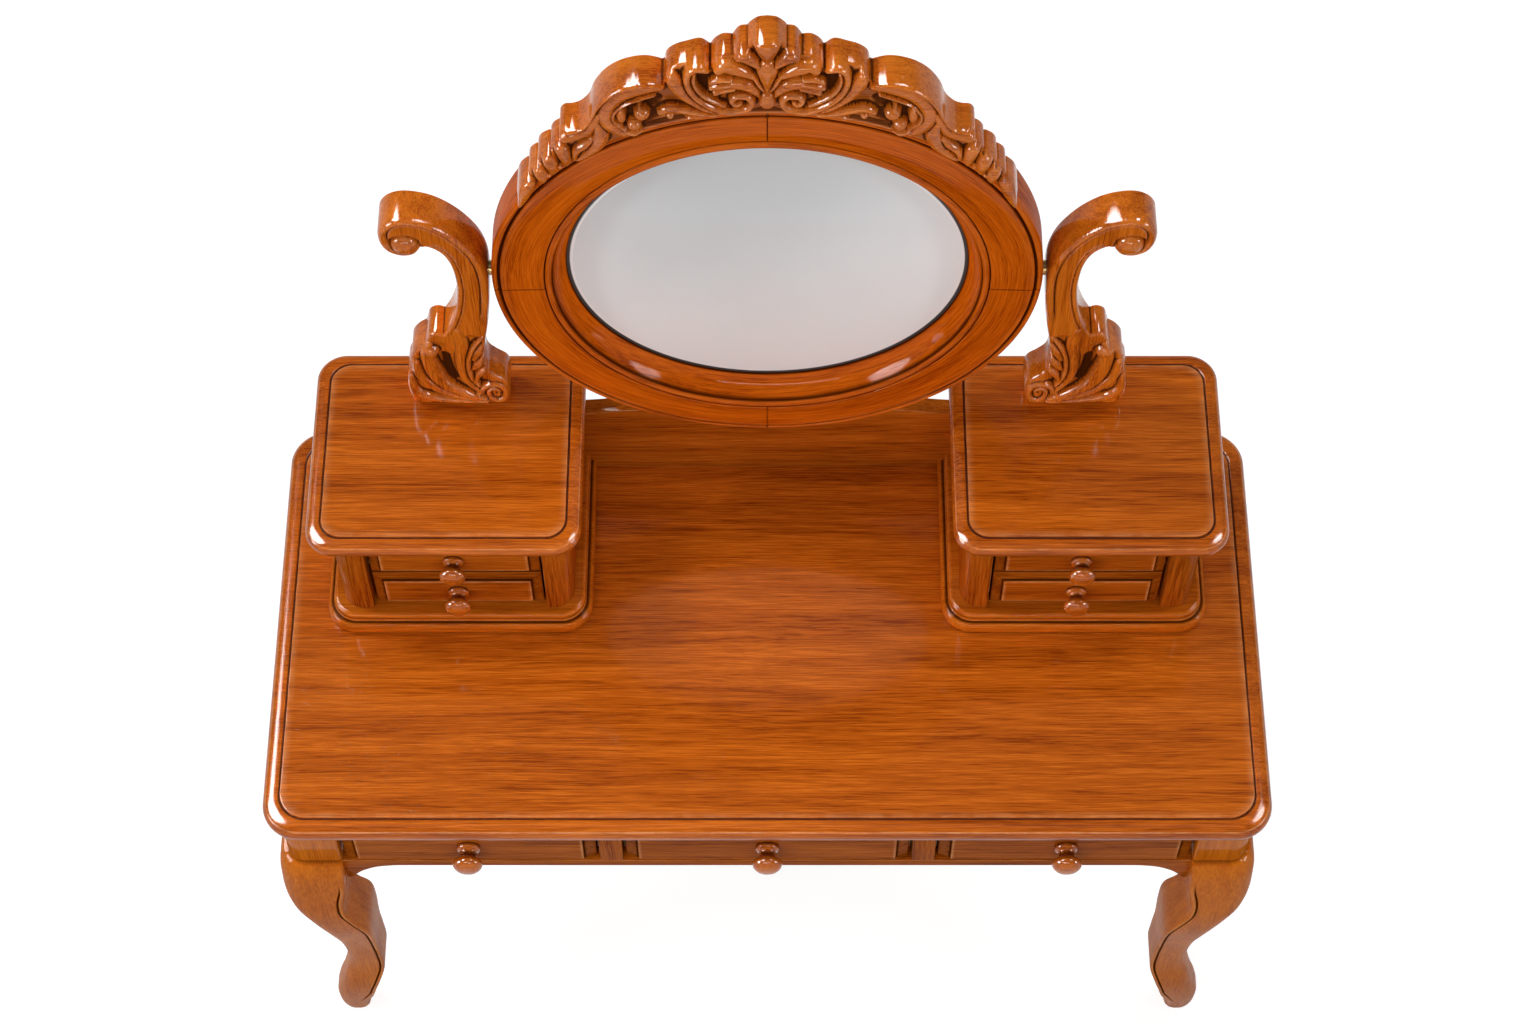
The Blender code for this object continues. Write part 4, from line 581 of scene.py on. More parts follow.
@dataclass(frozen=True)
class Brass(Finish):
    """Brushed brass of the tilt pivots."""
    bright: Colour = (0.46, 0.30, 0.13)
    dull: Colour = (0.20, 0.11, 0.04)

    def material(self, effects: Effects) -> bpy.types.Material:
        """Build the material from the shared effects."""
        material, desk, shader, place = self.start("brass")
        lacquer = self.effect(desk, effects.lacquer, place, Gloss_Loss=0.30)
        painted_light = self.effect(desk, effects.painted_light, place, Wear=0.8)
        tarnish = desk.span(desk.noise(place, 160.0, 4.0), 0.35, 0.72)
        colour = desk.blend(desk.math("MULTIPLY", tarnish, 0.6), self.bright, self.dull)
        # Painted highlight lightens the brass along arrises.
        desk.join(desk.blend(painted_light.outputs["Edges"], colour, self.bright), shader.inputs["Base Color"])
        desk.join(lacquer.outputs["Roughness"], shader.inputs["Roughness"])
        shader.inputs["Metallic"].default_value = 1.0
        self.bump(desk, shader, desk.noise(desk.stretch(place, (1200.0, 60.0, 60.0)), 1.0, 2.0), 0.0001, 0.5)
        return material


@dataclass(frozen=True)
class SilveredGlass(Finish):
    """Mirror glass whose colour is a painted reflection of a plain grey room, with a painted dark brown shade along its
    sight edge and a painted fine white highlight line.
    """
    # Darkest and lightest grey of the painted reflection.
    reflection_dark: Colour = (0.575, 0.60, 0.61)
    reflection_light: Colour = (0.955, 0.99, 1.0)

    def material(self, effects: Effects) -> bpy.types.Material:
        """Build the material from the shared effects."""
        material, desk, shader, place = self.start("mirror_glass")
        apart = desk.add("ShaderNodeSeparateXYZ")
        desk.join(place, apart.inputs[0])
        up = desk.math("DIVIDE", desk.math("SUBTRACT", apart.outputs["Z"], Mirror.AXIS[2]), Mirror.SIGHT_HALF[1])
        side = desk.math("DIVIDE", apart.outputs["X"], Mirror.SIGHT_HALF[0])
        # Painted reflection of a grey room: lighter towards the right, towards both sides and towards the bottom, with
        # soft clouds.
        painted_reflection = desk.math("ADD", desk.math("MULTIPLY", side, 0.22), desk.math("MULTIPLY", up, -0.45))
        painted_reflection = desk.math("ADD", painted_reflection, desk.math("MULTIPLY", desk.math("POWER", side, 2.0), 0.35))
        clouds = desk.noise(place, 4.0, 2.0)
        painted_light_mark = desk.span(desk.math("ADD", painted_reflection, desk.math("MULTIPLY", clouds, 0.35)), -0.45, 0.75)
        grey = desk.blend(painted_light_mark, self.reflection_dark, self.reflection_light)
        out = desk.math("SQRT", desk.math("ADD", desk.math("POWER", side, 2.0), desk.math("POWER", up, 2.0)))
        # Painted shade: a near-black brown from just inside the sight edge outwards.
        rim = desk.span(out, 0.980, 0.986)
        colour = desk.blend(desk.math("MULTIPLY", rim, 0.95), grey, (0.030, 0.020, 0.014))
        # Painted highlight: a fine white line just inside that band.
        line = desk.math("MULTIPLY", desk.span(out, 0.966, 0.971), desk.span(out, 0.982, 0.977))
        colour = desk.blend(desk.math("MULTIPLY", line, 0.9), colour, (1.0, 1.0, 1.0))
        lacquer = self.effect(desk, effects.lacquer, place, Gloss_Loss=0.07)
        painted_light = self.effect(desk, effects.painted_light, place, Wear=0.5)
        # Painted highlight along the glass's rounded edges, from the shared mask.
        desk.join(desk.blend(painted_light.outputs["Edges"], colour, (0.85, 0.85, 0.85)), shader.inputs["Base Color"])
        desk.join(lacquer.outputs["Roughness"], shader.inputs["Roughness"])
        shader.inputs["Metallic"].default_value = 0.0
        shader.inputs["Specular IOR Level"].default_value = 0.10
        shader.inputs["Coat Weight"].default_value = 0.05
        shader.inputs["Coat Roughness"].default_value = 0.02
        self.bump(desk, shader, lacquer.outputs["Height"], 0.00001, 0.1)
        return material


@dataclass
class Finishes:
    """Every material of the table, made when a piece first asks for it."""
    effects: Effects = field(default_factory=Effects)
    made: dict[object, bpy.types.Material] = field(default_factory=dict)
    # Light, middle and dark colour of the grain, made lighter or darker for each copy by how light falls on its pieces,
    # then how strongly the plain gloss shows, and the coat's
    COPIES_BY_LIGHT = {
        Wood.TOP: ((0.640, 0.150, 0.0100), (0.450, 0.092, 0.0050), (0.235, 0.038, 0.0020), 0.12, 0.30),
        Wood.FRONT: ((0.520, 0.130, 0.0100), (0.380, 0.084, 0.0050), (0.200, 0.036, 0.0020), 0.0, 0.10),
        Wood.BODY: ((0.600, 0.150, 0.0100), (0.480, 0.106, 0.0050), (0.330, 0.062, 0.0025), 0.0, 0.16),
        Wood.LEG: ((0.700, 0.190, 0.0120), (0.580, 0.142, 0.0070), (0.420, 0.088, 0.0035), 0.0, 0.20),
        Wood.CARVED: ((0.700, 0.190, 0.0140), (0.560, 0.128, 0.0070), (0.300, 0.050, 0.0025), 0.06, 0.42),
        Wood.KNOB: ((0.640, 0.160, 0.0120), (0.500, 0.110, 0.0060), (0.280, 0.048, 0.0025), 0.06, 0.60),
        Wood.RING: ((0.680, 0.138, 0.0050), (0.540, 0.096, 0.0026), (0.300, 0.042, 0.0012), 0.0, 0.14),
    }

    def lacquered(self, wood: Wood, grain: Grain = Grain.ACROSS) -> bpy.types.Material:
        """Lacquered wood of one copy, lighter or darker for the light on its pieces, with its grain one way."""
        key = (wood, grain)
        if key not in self.made:
            light, middle, dark, specular, coat = self.COPIES_BY_LIGHT[wood]
            finish = LacqueredWood(wood, grain, light, middle, dark, specular=specular, coat=coat)
            self.made[key] = finish.material(self.effects)
        return self.made[key]

    def other(self, finish: Finish) -> bpy.types.Material:
        """Any other finish of the table."""
        if finish not in self.made:
            self.made[finish] = finish.material(self.effects)
        return self.made[finish]


@dataclass
class Assembly:
    """Base of the sub-assemblies: dresses a solid and hangs it on its body in place of its nodes."""
    finishes: Finishes

    def add(self, name: str, solid: Solid, material: bpy.types.Material, body: str, *nodes: str,
            smooth_angle: float = 35.0, slot: str = "lacquered_wood") -> bpy.types.Object:
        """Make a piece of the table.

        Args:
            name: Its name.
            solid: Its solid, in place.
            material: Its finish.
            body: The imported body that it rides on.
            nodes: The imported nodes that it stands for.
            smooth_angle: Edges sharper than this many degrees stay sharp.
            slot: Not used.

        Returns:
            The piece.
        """
        item = bpy.data.objects.new(name, solid.mesh(name, smooth_angle))
        bpy.context.scene.collection.objects.link(item)
        item.data.materials.append(material)
        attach(item, body)
        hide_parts(*nodes)
        LOG.info("%s: %d points, rides on %s", name, len(item.data.vertices), body)
        return item

    def dress(self, node: str, material: bpy.types.Material) -> None:
        """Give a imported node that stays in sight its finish."""
        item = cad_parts[node]
        for held in item.material_slots:
            held.material = material
        LOG.info("%s: dressed", node)

    @staticmethod
    def cut(solid: Solid, low: Point, high: Point, name: str) -> Solid:
        """Cut a box out of a solid.

        Args:
            solid: The solid.
            low: The box's lowest corner.
            high: Its highest corner.
            name: A name for the work.

        Returns:
            What is left.
        """
        objects = []
        corners = [(x, y) for x, y in ((low[0], low[1]), (high[0], low[1]), (high[0], high[1]), (low[0], high[1]))]
        block = Solid().loft([[(x, y, low[2]) for x, y in corners], [(x, y, high[2]) for x, y in corners]])
        for part in (solid, block):
            item = bpy.data.objects.new(name, part.mesh(name))
            bpy.context.scene.collection.objects.link(item)
            objects.append(item)
        modifier = objects[0].modifiers.new("cut", "BOOLEAN")
        modifier.operation = "DIFFERENCE"
        modifier.solver = "EXACT"
        modifier.object = objects[1]
        bpy.context.view_layer.update()
        left = bpy.data.meshes.new_from_object(objects[0].evaluated_get(bpy.context.evaluated_depsgraph_get()))
        painted_light_marks = [value.value for value in left.attributes["painted_light_mark"].data] if "painted_light_mark" in left.attributes else []
        result = Solid([tuple(v.co) for v in left.vertices], [tuple(p.vertices) for p in left.polygons], painted_light_marks)
        for item in objects:
            bpy.data.objects.remove(item, do_unlink=True)
        return result


@dataclass
class Boards(Assembly):
    """The table top and the pedestals' tops: a worked lip, a fine groove and a flat field."""
    table_lip: float = 0.019
    table_radius: float = 0.045
    pedestal_lip: float = 0.016
    pedestal_radius: float = 0.034
    groove_width: float = 0.0030
    groove_depth: float = 0.0026
    corner_steps: int = 14
    # Lip from the underside up: share of its width in from the edge, and of the thickness
    lip_shares: tuple[Flat, ...] = (
        (0.50, 0.0), (0.36, 0.008), (0.22, 0.03), (0.13, 0.075), (0.07, 0.14), (0.03, 0.23), (0.008, 0.31),
        (0.0, 0.385), (0.005, 0.46), (0.03, 0.55), (0.07, 0.63), (0.115, 0.695), (0.15, 0.730), (0.175, 0.765),
        (0.215, 0.790), (0.30, 0.828), (0.42, 0.872), (0.56, 0.904), (0.72, 0.928), (0.87, 0.938), (0.96, 0.938),
        (0.995, 0.925))

    def board(self, node: str, lip: float, radius: float) -> Solid:
        """Loft a lipped board inside a node's box."""
        low, high = (tuple(corner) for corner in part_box(node))
        thickness = high[2] - low[2]
        profile = [(lip * inset, thickness * up) for inset, up in self.lip_shares]
        ease = 0.0003
        profile += [
            (lip + self.groove_width * 0.30, thickness - self.groove_depth * 0.92),
            (lip + self.groove_width * 0.50, thickness - self.groove_depth),
            (lip + self.groove_width * 0.70, thickness - self.groove_depth * 0.92),
            (lip + self.groove_width - ease, thickness - 2 * ease),
            (lip + self.groove_width, thickness - ease / 3),
            (lip + self.groove_width + 2 * ease, thickness),
            (lip + self.groove_width + 0.010, thickness),
        ]
        deepest = max(inset for inset, _ in profile)
        # Painted shade under the lip and in the groove; painted highlights on the lip's arris and on the groove's inner
        # arris.
        painted_light_marks = {0: 0.9, 1: 0.9, 2: 0.8, 3: 0.7, 4: 0.6, 5: 0.45, 6: 0.3, 7: 0.15, 13: -0.4, 14: -0.75, 20: 0.0, 21: 0.55, 22: 1.0, 23: 1.0, 24: 1.0, 25: -0.15, 26: -0.8, 27: -0.5}
        rings = []
        for inset, up in profile:
            corner = radius - radius * inset / (radius + deepest)
            flat = rounded_rectangle((low[0] + inset, low[1] + inset), (high[0] - inset, high[1] - inset), corner, self.corner_steps)
            rings.append([(x, y, low[2] + up) for x, y in flat])
        return Solid().loft(rings, ring_painted_light=[painted_light_marks.get(i, 0.0) for i in range(len(rings))])

    def build(self) -> None:
        """Make the three boards."""
        wood = self.finishes.lacquered(Wood.TOP)
        self.add("board_table_top", self.board("table_top", self.table_lip, self.table_radius), wood, "carcass", "table_top")
        for side in ("left", "right"):
            node = "pedestal_top_" + side
            self.add("board_" + node, self.board(node, self.pedestal_lip, self.pedestal_radius), wood, "carcass", node)


@dataclass
class Legs(Assembly):
    """Cabriole legs: a square post block over a bulging knee, an S-shaped leg and a turned-out foot."""
    post: float = 0.066
    knee: float = 0.080
    swing: float = 0.024
    knee_height: float = 0.588
    block_top: float = 0.6857
    ledge: float = 0.0015
    post_corner: float = 0.30
    outer_corner: float = 0.42
    back_corner: float = 0.05
    arris: float = 0.05
    corner_steps: int = 10
    station_steps: int = 4
    line_width: float = 0.0036
    line_depth: float = 0.0020
    # Height as a share of the leg below its block, the inner corner's place as shares of the
    # swing, sideways and to the front, and the thickness as a share of the knee
    stations: tuple[tuple[float, float, float, float], ...] = (
        (0.998, 0.00, 0.00, 0.910), (0.969, 0.00, 0.08, 0.990), (0.918, 0.04, 0.29, 1.000), (0.867, 0.29, 0.75, 0.910),
        (0.816, 0.29, 1.12, 0.835), (0.762, -0.12, 1.04, 0.850), (0.697, -0.56, 0.74, 0.885),
        (0.612, -0.58, 0.62, 0.790), (0.527, -0.50, 0.64, 0.660), (0.442, -0.50, 0.56, 0.610),
        (0.357, -0.44, 0.50, 0.600), (0.281, 0.02, 0.72, 0.575), (0.221, 0.40, 0.70, 0.565),
        (0.162, 0.64, 0.38, 0.605), (0.119, 0.80, 0.14, 0.625), (0.077, 1.00, 0.05, 0.590),
        (0.037, 1.24, 0.08, 0.520), (0.010, 1.32, 0.14, 0.460), (0.000, 1.40, 0.26, 0.385))

    def ring(self, inner: Flat, size: Flat, corner: float, height: float, line: float, foot: float = 0.0) -> list[Point]:
        """Section of a leg about its inner corner.

        Args:
            inner: The inner corner, where the two hidden faces meet.
            size: The thickness both ways.
            corner: Radius of the outer corner as a share of the thickness.
            height: Height over the floor.
            line: How deep the incised line beside the arris runs here, as a share of its full depth.
            foot: How far the section is rounded into a club foot.

        Returns:
            The section's points.
        """
        least = min(size)
        outer, back, arris = (least * (share + more * foot) for share, more in
                              ((corner, 0.04), (self.back_corner, 0.36), (self.arris, 0.30)))
        low_x, low_y = inner[0] - size[0], inner[1] - size[1]
        flat: list[Flat] = []
        for step in range(self.corner_steps + 1):
            angle = math.pi + math.pi / 2 * step / self.corner_steps
            flat.append((low_x + outer * (1 + math.cos(angle)), low_y + outer * (1 + math.sin(angle))))
        start, end = low_x + outer, inner[0] - arris
        groove = end - 0.9 * self.line_width
        flat += [(start + (groove - start) * share, low_y) for share in (0.33, 0.66)]
        depth = self.line_depth * line
        for along, sink in ((-0.55, 0.0), (-0.2, 0.75), (0.0, 1.0), (0.2, 0.75), (0.55, 0.0)):
            flat.append((groove + self.line_width * along, low_y + depth * sink))
        for step in range(4):
            angle = -math.pi / 2 + math.pi / 2 * step / 3
            flat.append((inner[0] - arris + arris * math.cos(angle), low_y + arris + arris * math.sin(angle)))
        for centre, turn in (((inner[0] - back, inner[1] - back), 0.0), ((low_x + back, inner[1] - back), math.pi / 2)):
            for step in range(5):
                angle = turn + math.pi / 2 * step / 4
                flat.append((centre[0] + back * math.cos(angle), centre[1] + back * math.sin(angle)))
        return [(x, y, height) for x, y in flat]

    def left(self, rear: bool) -> Solid:
        """Left leg about the corner under its post block, its front to -Y."""
        block = self.block_top
        rings = []
        for height, inset in ((block, 0.0006), (block - 0.0006, 0.0), (self.knee_height + 0.0052, 0.0),
                              (self.knee_height + 0.0034, 0.0004), (self.knee_height + 0.0022, 0.0013),
                              (self.knee_height + self.ledge, 0.0028)):
            rings.append(self.ring((-inset, -inset), (self.post - 2 * inset,) * 2, self.post_corner, height, 0.0))
        stations = smooth_run(self.stations, self.station_steps)
        # Painted shade inside the incised line, with a painted highlight on its far edge and on the arris beside it;
        # the ring under the post block's step gets painted shade.
        lined = self.corner_steps + 1 + 2
        painted_light_marks = [0.0] * (lined + 5 + 4 + 10)
        painted_light_marks[lined:lined + 6] = [0.0, 1.0, 1.0, 1.0, -0.6, -0.5]
        marks = [[0.0] * len(painted_light_marks) for _ in range(5)] + [[0.75] * len(painted_light_marks)]
        for share, side, front, thick in stations:
            size = self.knee * thick
            depth = self.post * thick if rear else size
            inner_y = depth - self.post if rear else -self.swing * front
            line = max(0.0, min(1.0, (share - 0.09) / 0.08, (0.955 - share) / 0.05))
            rings.append(self.ring((-self.swing * side, inner_y), (size, depth), self.outer_corner,
                                   self.knee_height * share, line, max(0.0, min(1.0, (0.20 - share) / 0.12))))
            marks.append([painted_light_mark * line for painted_light_mark in painted_light_marks])
        solid = Solid().loft(rings)
        solid.painted_light_marks = [painted_light_mark for row in marks for painted_light_mark in row]
        return solid

    def build(self) -> None:
        """Make the four legs."""
        wood = self.finishes.lacquered(Wood.LEG, Grain.UPRIGHT)
        for end, rear in (("front", False), ("rear", True)):
            low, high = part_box("side_apron_left")
            corner_y = high[1] + 0.0003 if rear else low[1] - 0.0003
            flip = -1.0 if rear else 1.0
            inner_x = -Rails.POST_INNER_X
            solid = self.left(rear).moved(lambda p: (p[0] + inner_x, corner_y + flip * p[1], p[2]))
            for side, made in (("left", solid), ("right", solid.mirrored())):
                node = "leg_" + end + "_" + side
                self.add("cabriole_" + node, made, wood, "carcass", node, smooth_angle=42.0)


@dataclass
class Rails(Assembly):
    """Rails and aprons that sweep down to the legs, and the stiles between the main drawers."""
    POST_INNER_X = 0.516
    ear_length: float = 0.075
    ear_drop: float = 0.037
    ease: float = 0.0009
    # Lower edge by the leg: share of the ear's length from the leg, and of its drop
    ear: tuple[Flat, ...] = ((0.0, 1.0), (0.09, 0.96), (0.17, 0.72), (0.30, 0.42), (0.52, 0.14), (0.78, 0.02), (1.0, 0.0))

    def apron(self, half: float, top: float, bottom: float) -> list[Flat]:
        """Outline of a rail with an ear at each end, along its length and height."""
        run = smooth_run(self.ear, 6)
        left = [(-half + self.ear_length * along, bottom - self.ear_drop * drop) for along, drop in run]
        return left + [(-x, z) for x, z in reversed(left)] + [(half, top), (-half, top)]

    def straight(self, node: str) -> Solid:
        """Straight rail or stile with eased edges."""
        low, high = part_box(node)
        outline = [(low[0], low[2]), (high[0], low[2]), (high[0], high[2]), (low[0], high[2])]
        return plate(outline, low[1], high[1], self.ease).moved(lambda p: (p[0], p[2], p[1]))

    def build(self) -> None:
        """Make the rails, aprons and stiles."""
        front = self.finishes.lacquered(Wood.FRONT)
        for node in ("lower_front_rail", "rear_apron"):
            low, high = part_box(node)
            solid = plate(self.apron(high[0], high[2], low[2] + self.ear_drop), low[1], high[1], self.ease)
            self.add("swept_" + node, solid.moved(lambda p: (p[0], p[2], p[1])), front, "carcass", node)
        for side in ("left", "right"):
            node = "side_apron_" + side
            low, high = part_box(node)
            middle = (low[1] + high[1]) / 2
            solid = plate(self.apron((high[1] - low[1]) / 2, high[2], low[2] + self.ear_drop), low[0], high[0], self.ease)
            self.add("swept_" + node, solid.moved(lambda p: (p[2], p[0] + middle, p[1])),
                     self.finishes.lacquered(Wood.BODY, Grain.DEEP), "carcass", node)
            stile = "drawer_divider_" + side
            self.add("stile_" + stile, self.straight(stile), self.finishes.lacquered(Wood.FRONT, Grain.UPRIGHT), "carcass", stile)
        self.add("straight_upper_front_rail", self.straight("upper_front_rail"), front, "carcass", "upper_front_rail")
        self.dress("dust_board", self.finishes.other(DRAWER_WOOD))


@dataclass
class Drawers(Assembly):
    """Seven drawers: a front with a raised field, its box and a turned knob."""
    bevel_drop: float = 0.0062
    main_margin: float = 0.0150
    small_margin: float = 0.0125
    step: float = 0.0022
    side_gap: float = 0.0022
    knob_segments: int = 40
    # Knob from the tip to the foot: share of the radius, and of the length
    knob_shares: tuple[Flat, ...] = (
        (0.0, 1.0), (0.24, 0.995), (0.46, 0.975), (0.66, 0.935), (0.84, 0.86), (0.955, 0.775), (1.0, 0.69), (0.965, 0.61),
        (0.86, 0.545), (0.71, 0.49), (0.58, 0.445), (0.52, 0.39), (0.50, 0.31), (0.53, 0.235), (0.60, 0.195),
        (0.70, 0.175), (0.765, 0.150), (0.785, 0.115), (0.79, 0.07), (0.785, 0.02), (0.77, 0.0), (0.0, 0.0))

    def front(self, node: str, margin: float, foot: float) -> Solid:
        """Drawer front: a sloped border with mitred corners round a raised field.

        Args:
            node: Its node.
            margin: Width of the border.
            foot: Width of the border's lowest side as a share of that.

        Returns:
            The solid.
        """
        low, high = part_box(node)
        back, depth = high[1], high[1] - low[1]
        edge = depth - self.bevel_drop
        slope = [(margin * s, edge + (self.bevel_drop - self.step) * (0.80 * s + 0.20 * s * s)) for s in
                 (0.10, 0.25, 0.45, 0.65, 0.82, 0.94, 1.0)]
        profile = [(0.0008, 0.0), (0.0, 0.0008), (0.0, edge - 0.0012), (0.0004, edge - 0.0003)] + slope + [
            (margin + self.step * 0.25, depth - self.step * 0.30), (margin + self.step * 0.8, depth - self.step * 0.04),
            (margin + self.step * 1.6, depth), (margin + 0.006, depth)]
        rings = []
        for inset, out in profile:
            side = inset + self.side_gap
            under = inset * (foot if inset > 0.001 else 1.0)
            corners = ((low[0] + side, low[2] + under), (high[0] - side, low[2] + under),
                       (high[0] - side, high[2] - inset), (low[0] + side, high[2] - inset))
            rings.append([(x, back - out, z) for x, z in corners])
        # Painted shade on the front's sides in the slot beside the stiles, over the sloped border and darkest at the
        # foot of the field's step; a painted highlight along the field's edge.
        painted_light_marks = [1.0, 1.0, 1.0, 0.55] + [0.35, 0.3, 0.3, 0.3, 0.4, 0.8, 1.0] + [0.6, -0.85, -0.4, 0.0]
        return Solid().loft(rings, ring_painted_light=painted_light_marks)

    def knob(self, node: str) -> Solid:
        """Turned knob about its own axis."""
        low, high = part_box(node)
        radius, length = (high[0] - low[0]) / 2, high[1] - low[1]
        centre_x, centre_z = (high[0] + low[0]) / 2, (high[2] + low[2]) / 2
        rings = []
        for share, up in self.knob_shares[1:-1]:
            rings.append([(centre_x + radius * share * math.cos(turn), high[1] - length * up, centre_z + radius * share * math.sin(turn))
                          for turn in (2 * math.pi * i / self.knob_segments for i in range(self.knob_segments))])
        # Painted shade under the knob's ball, in its waist and at its foot against the drawer front.
        painted_light_marks = [0.0] * 7 + [0.15, 0.3, 0.5, 0.7, 0.6, 0.25, 0.1, 0.0, 0.0, 0.2, 0.5, 0.8, 1.0]
        return Solid().loft(rings, ring_painted_light=painted_light_marks)

    def build(self) -> None:
        """Make the fronts and knobs, and dress the boxes."""
        wood = self.finishes.lacquered(Wood.FRONT)
        turned = self.finishes.lacquered(Wood.KNOB)
        names = ["main_drawer_" + where for where in ("left", "centre", "right")]
        names += ["small_drawer_" + level + "_" + side for level in ("lower", "upper") for side in ("left", "right")]
        for name in names:
            margin, foot = (self.main_margin, 0.22) if name.startswith("main") else (self.small_margin, 0.8)
            self.add("raised_" + name + "_front", self.front(name + "_front", margin, foot), wood, name, name + "_front", smooth_angle=12.0)
            self.add("turned_" + name + "_knob", self.knob(name + "_knob"), turned, name, name + "_knob", smooth_angle=60.0)
            self.dress(name + "_box", self.finishes.other(DRAWER_WOOD))


@dataclass
class Pedestals(Assembly):
    """Two pedestals on the table top: a rolled base and sides whose front corners are columns."""
    base_radius: float = 0.036
    projection: float = 0.0195
    column_radius: float = 0.025
    outer_thickness: float = 0.038
    ease: float = 0.0008
    # Two rolls one over the other: share of the projection, and of the height
    base_shares: tuple[Flat, ...] = (
        (0.22, 0.0), (0.12, 0.035), (0.05, 0.10), (0.012, 0.19), (0.0, 0.30), (0.018, 0.40), (0.06, 0.49), (0.135, 0.56),
        (0.24, 0.60), (0.33, 0.612), (0.40, 0.622), (0.432, 0.645), (0.44, 0.69), (0.425, 0.75), (0.42, 0.80), (0.435, 0.875),
        (0.50, 0.945), (0.58, 0.985), (0.68, 1.0))

    def base(self) -> Solid:
        """Left base, notched for the back panel."""
        low, high = (tuple(corner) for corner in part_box("pedestal_base_left"))
        rings = []
        deepest = self.projection * 0.68
        for inset_share, up in self.base_shares:
            inset = self.projection * inset_share
            corner = self.base_radius - self.base_radius * inset / (self.base_radius + deepest)
            flat = rounded_rectangle((low[0] + inset, low[1] + inset), (high[0] - inset, high[1] - inset), corner, 14)
            rings.append([(x, y, low[2] + (high[2] - low[2]) * up) for x, y in flat])
        panel_low, panel_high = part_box("back_panel")
        # Painted shade under the lower roll and in the crease between the rolls, painted highlights on the rolls'
        # arrises.
        painted_light_marks = [0.8, 0.6, 0.3] + [0.0] * 5 + [0.6, 1.0, 0.6, -0.6, -0.3, 0.35, 0.5, 0.2, -0.4, 0.0, 0.3]
        return self.cut(Solid().loft(rings, ring_painted_light=painted_light_marks), (panel_low[0] - 0.0003, panel_low[1] - 0.0003, low[2] - 0.01),
                        (high[0] + 0.01, high[1] + 0.01, high[2] + 0.01), "base_notch")

    def side(self, node: str, outer: bool) -> Solid:
        """Left pedestal's outer or inner side, with its column."""
        low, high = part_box(node)
        face, inward = (low[0], 1.0) if outer else (high[0], -1.0)
        inside = high[0] if outer else low[0]
        r = self.column_radius
        arc = [(face + inward * r * (1 - math.cos(a)), low[1] + r * (1 - math.sin(a)))
               for a in (math.pi / 2 * i / 16 for i in range(17))]
        outline = arc + [(inside, low[1]), (inside, high[1]), (face, high[1])]
        return plate(outline, low[2], high[2], self.ease, 2)

    def build(self) -> None:
        """Make both pedestals."""
        wood = self.finishes.lacquered(Wood.BODY)
        upright = self.finishes.lacquered(Wood.FRONT, Grain.UPRIGHT)
        base = self.base()
        outer = self.side("pedestal_outer_side_left", True)
        inner = self.side("pedestal_inner_side_left", False)
        for side in ("left", "right"):
            hand = (lambda s: s) if side == "left" else (lambda s: s.mirrored())
            self.add("rolled_pedestal_base_" + side, hand(base), wood, "carcass", "pedestal_base_" + side, smooth_angle=50.0)
            self.add("column_outer_side_" + side, hand(outer), upright, "carcass", "pedestal_outer_side_" + side)
            self.add("column_inner_side_" + side, hand(inner), upright, "carcass", "pedestal_inner_side_" + side)
            self.dress("pedestal_back_" + side, wood)
            self.dress("pedestal_shelf_" + side, self.finishes.other(DRAWER_WOOD))


@dataclass
class BackPanel(Assembly):
    """Low board between the pedestals with a gently raised top edge."""
    height: float = 0.127
    crest: float = 0.011
    ease: float = 0.0016
    shares: tuple[Flat, ...] = ((0.0, 1.0), (0.35, 1.0), (0.58, 0.96), (0.75, 0.70), (0.88, 0.22), (1.0, 0.0))

    def build(self) -> None:
        """Make the board."""
        low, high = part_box("back_panel")
        right = [(high[0] * x, low[2] + self.height + self.crest * z) for x, z in smooth_run(self.shares, 6)]
        left = [(-x, z) for x, z in right[1:]]
        outline = [(low[0], low[2]), (high[0], low[2])] + right[::-1] + left
        solid = plate(outline, low[1], high[1], self.ease).moved(lambda p: (p[0], p[2], p[1]))
        self.add("crested_back_panel", solid, self.finishes.lacquered(Wood.FRONT), "carcass", "back_panel")


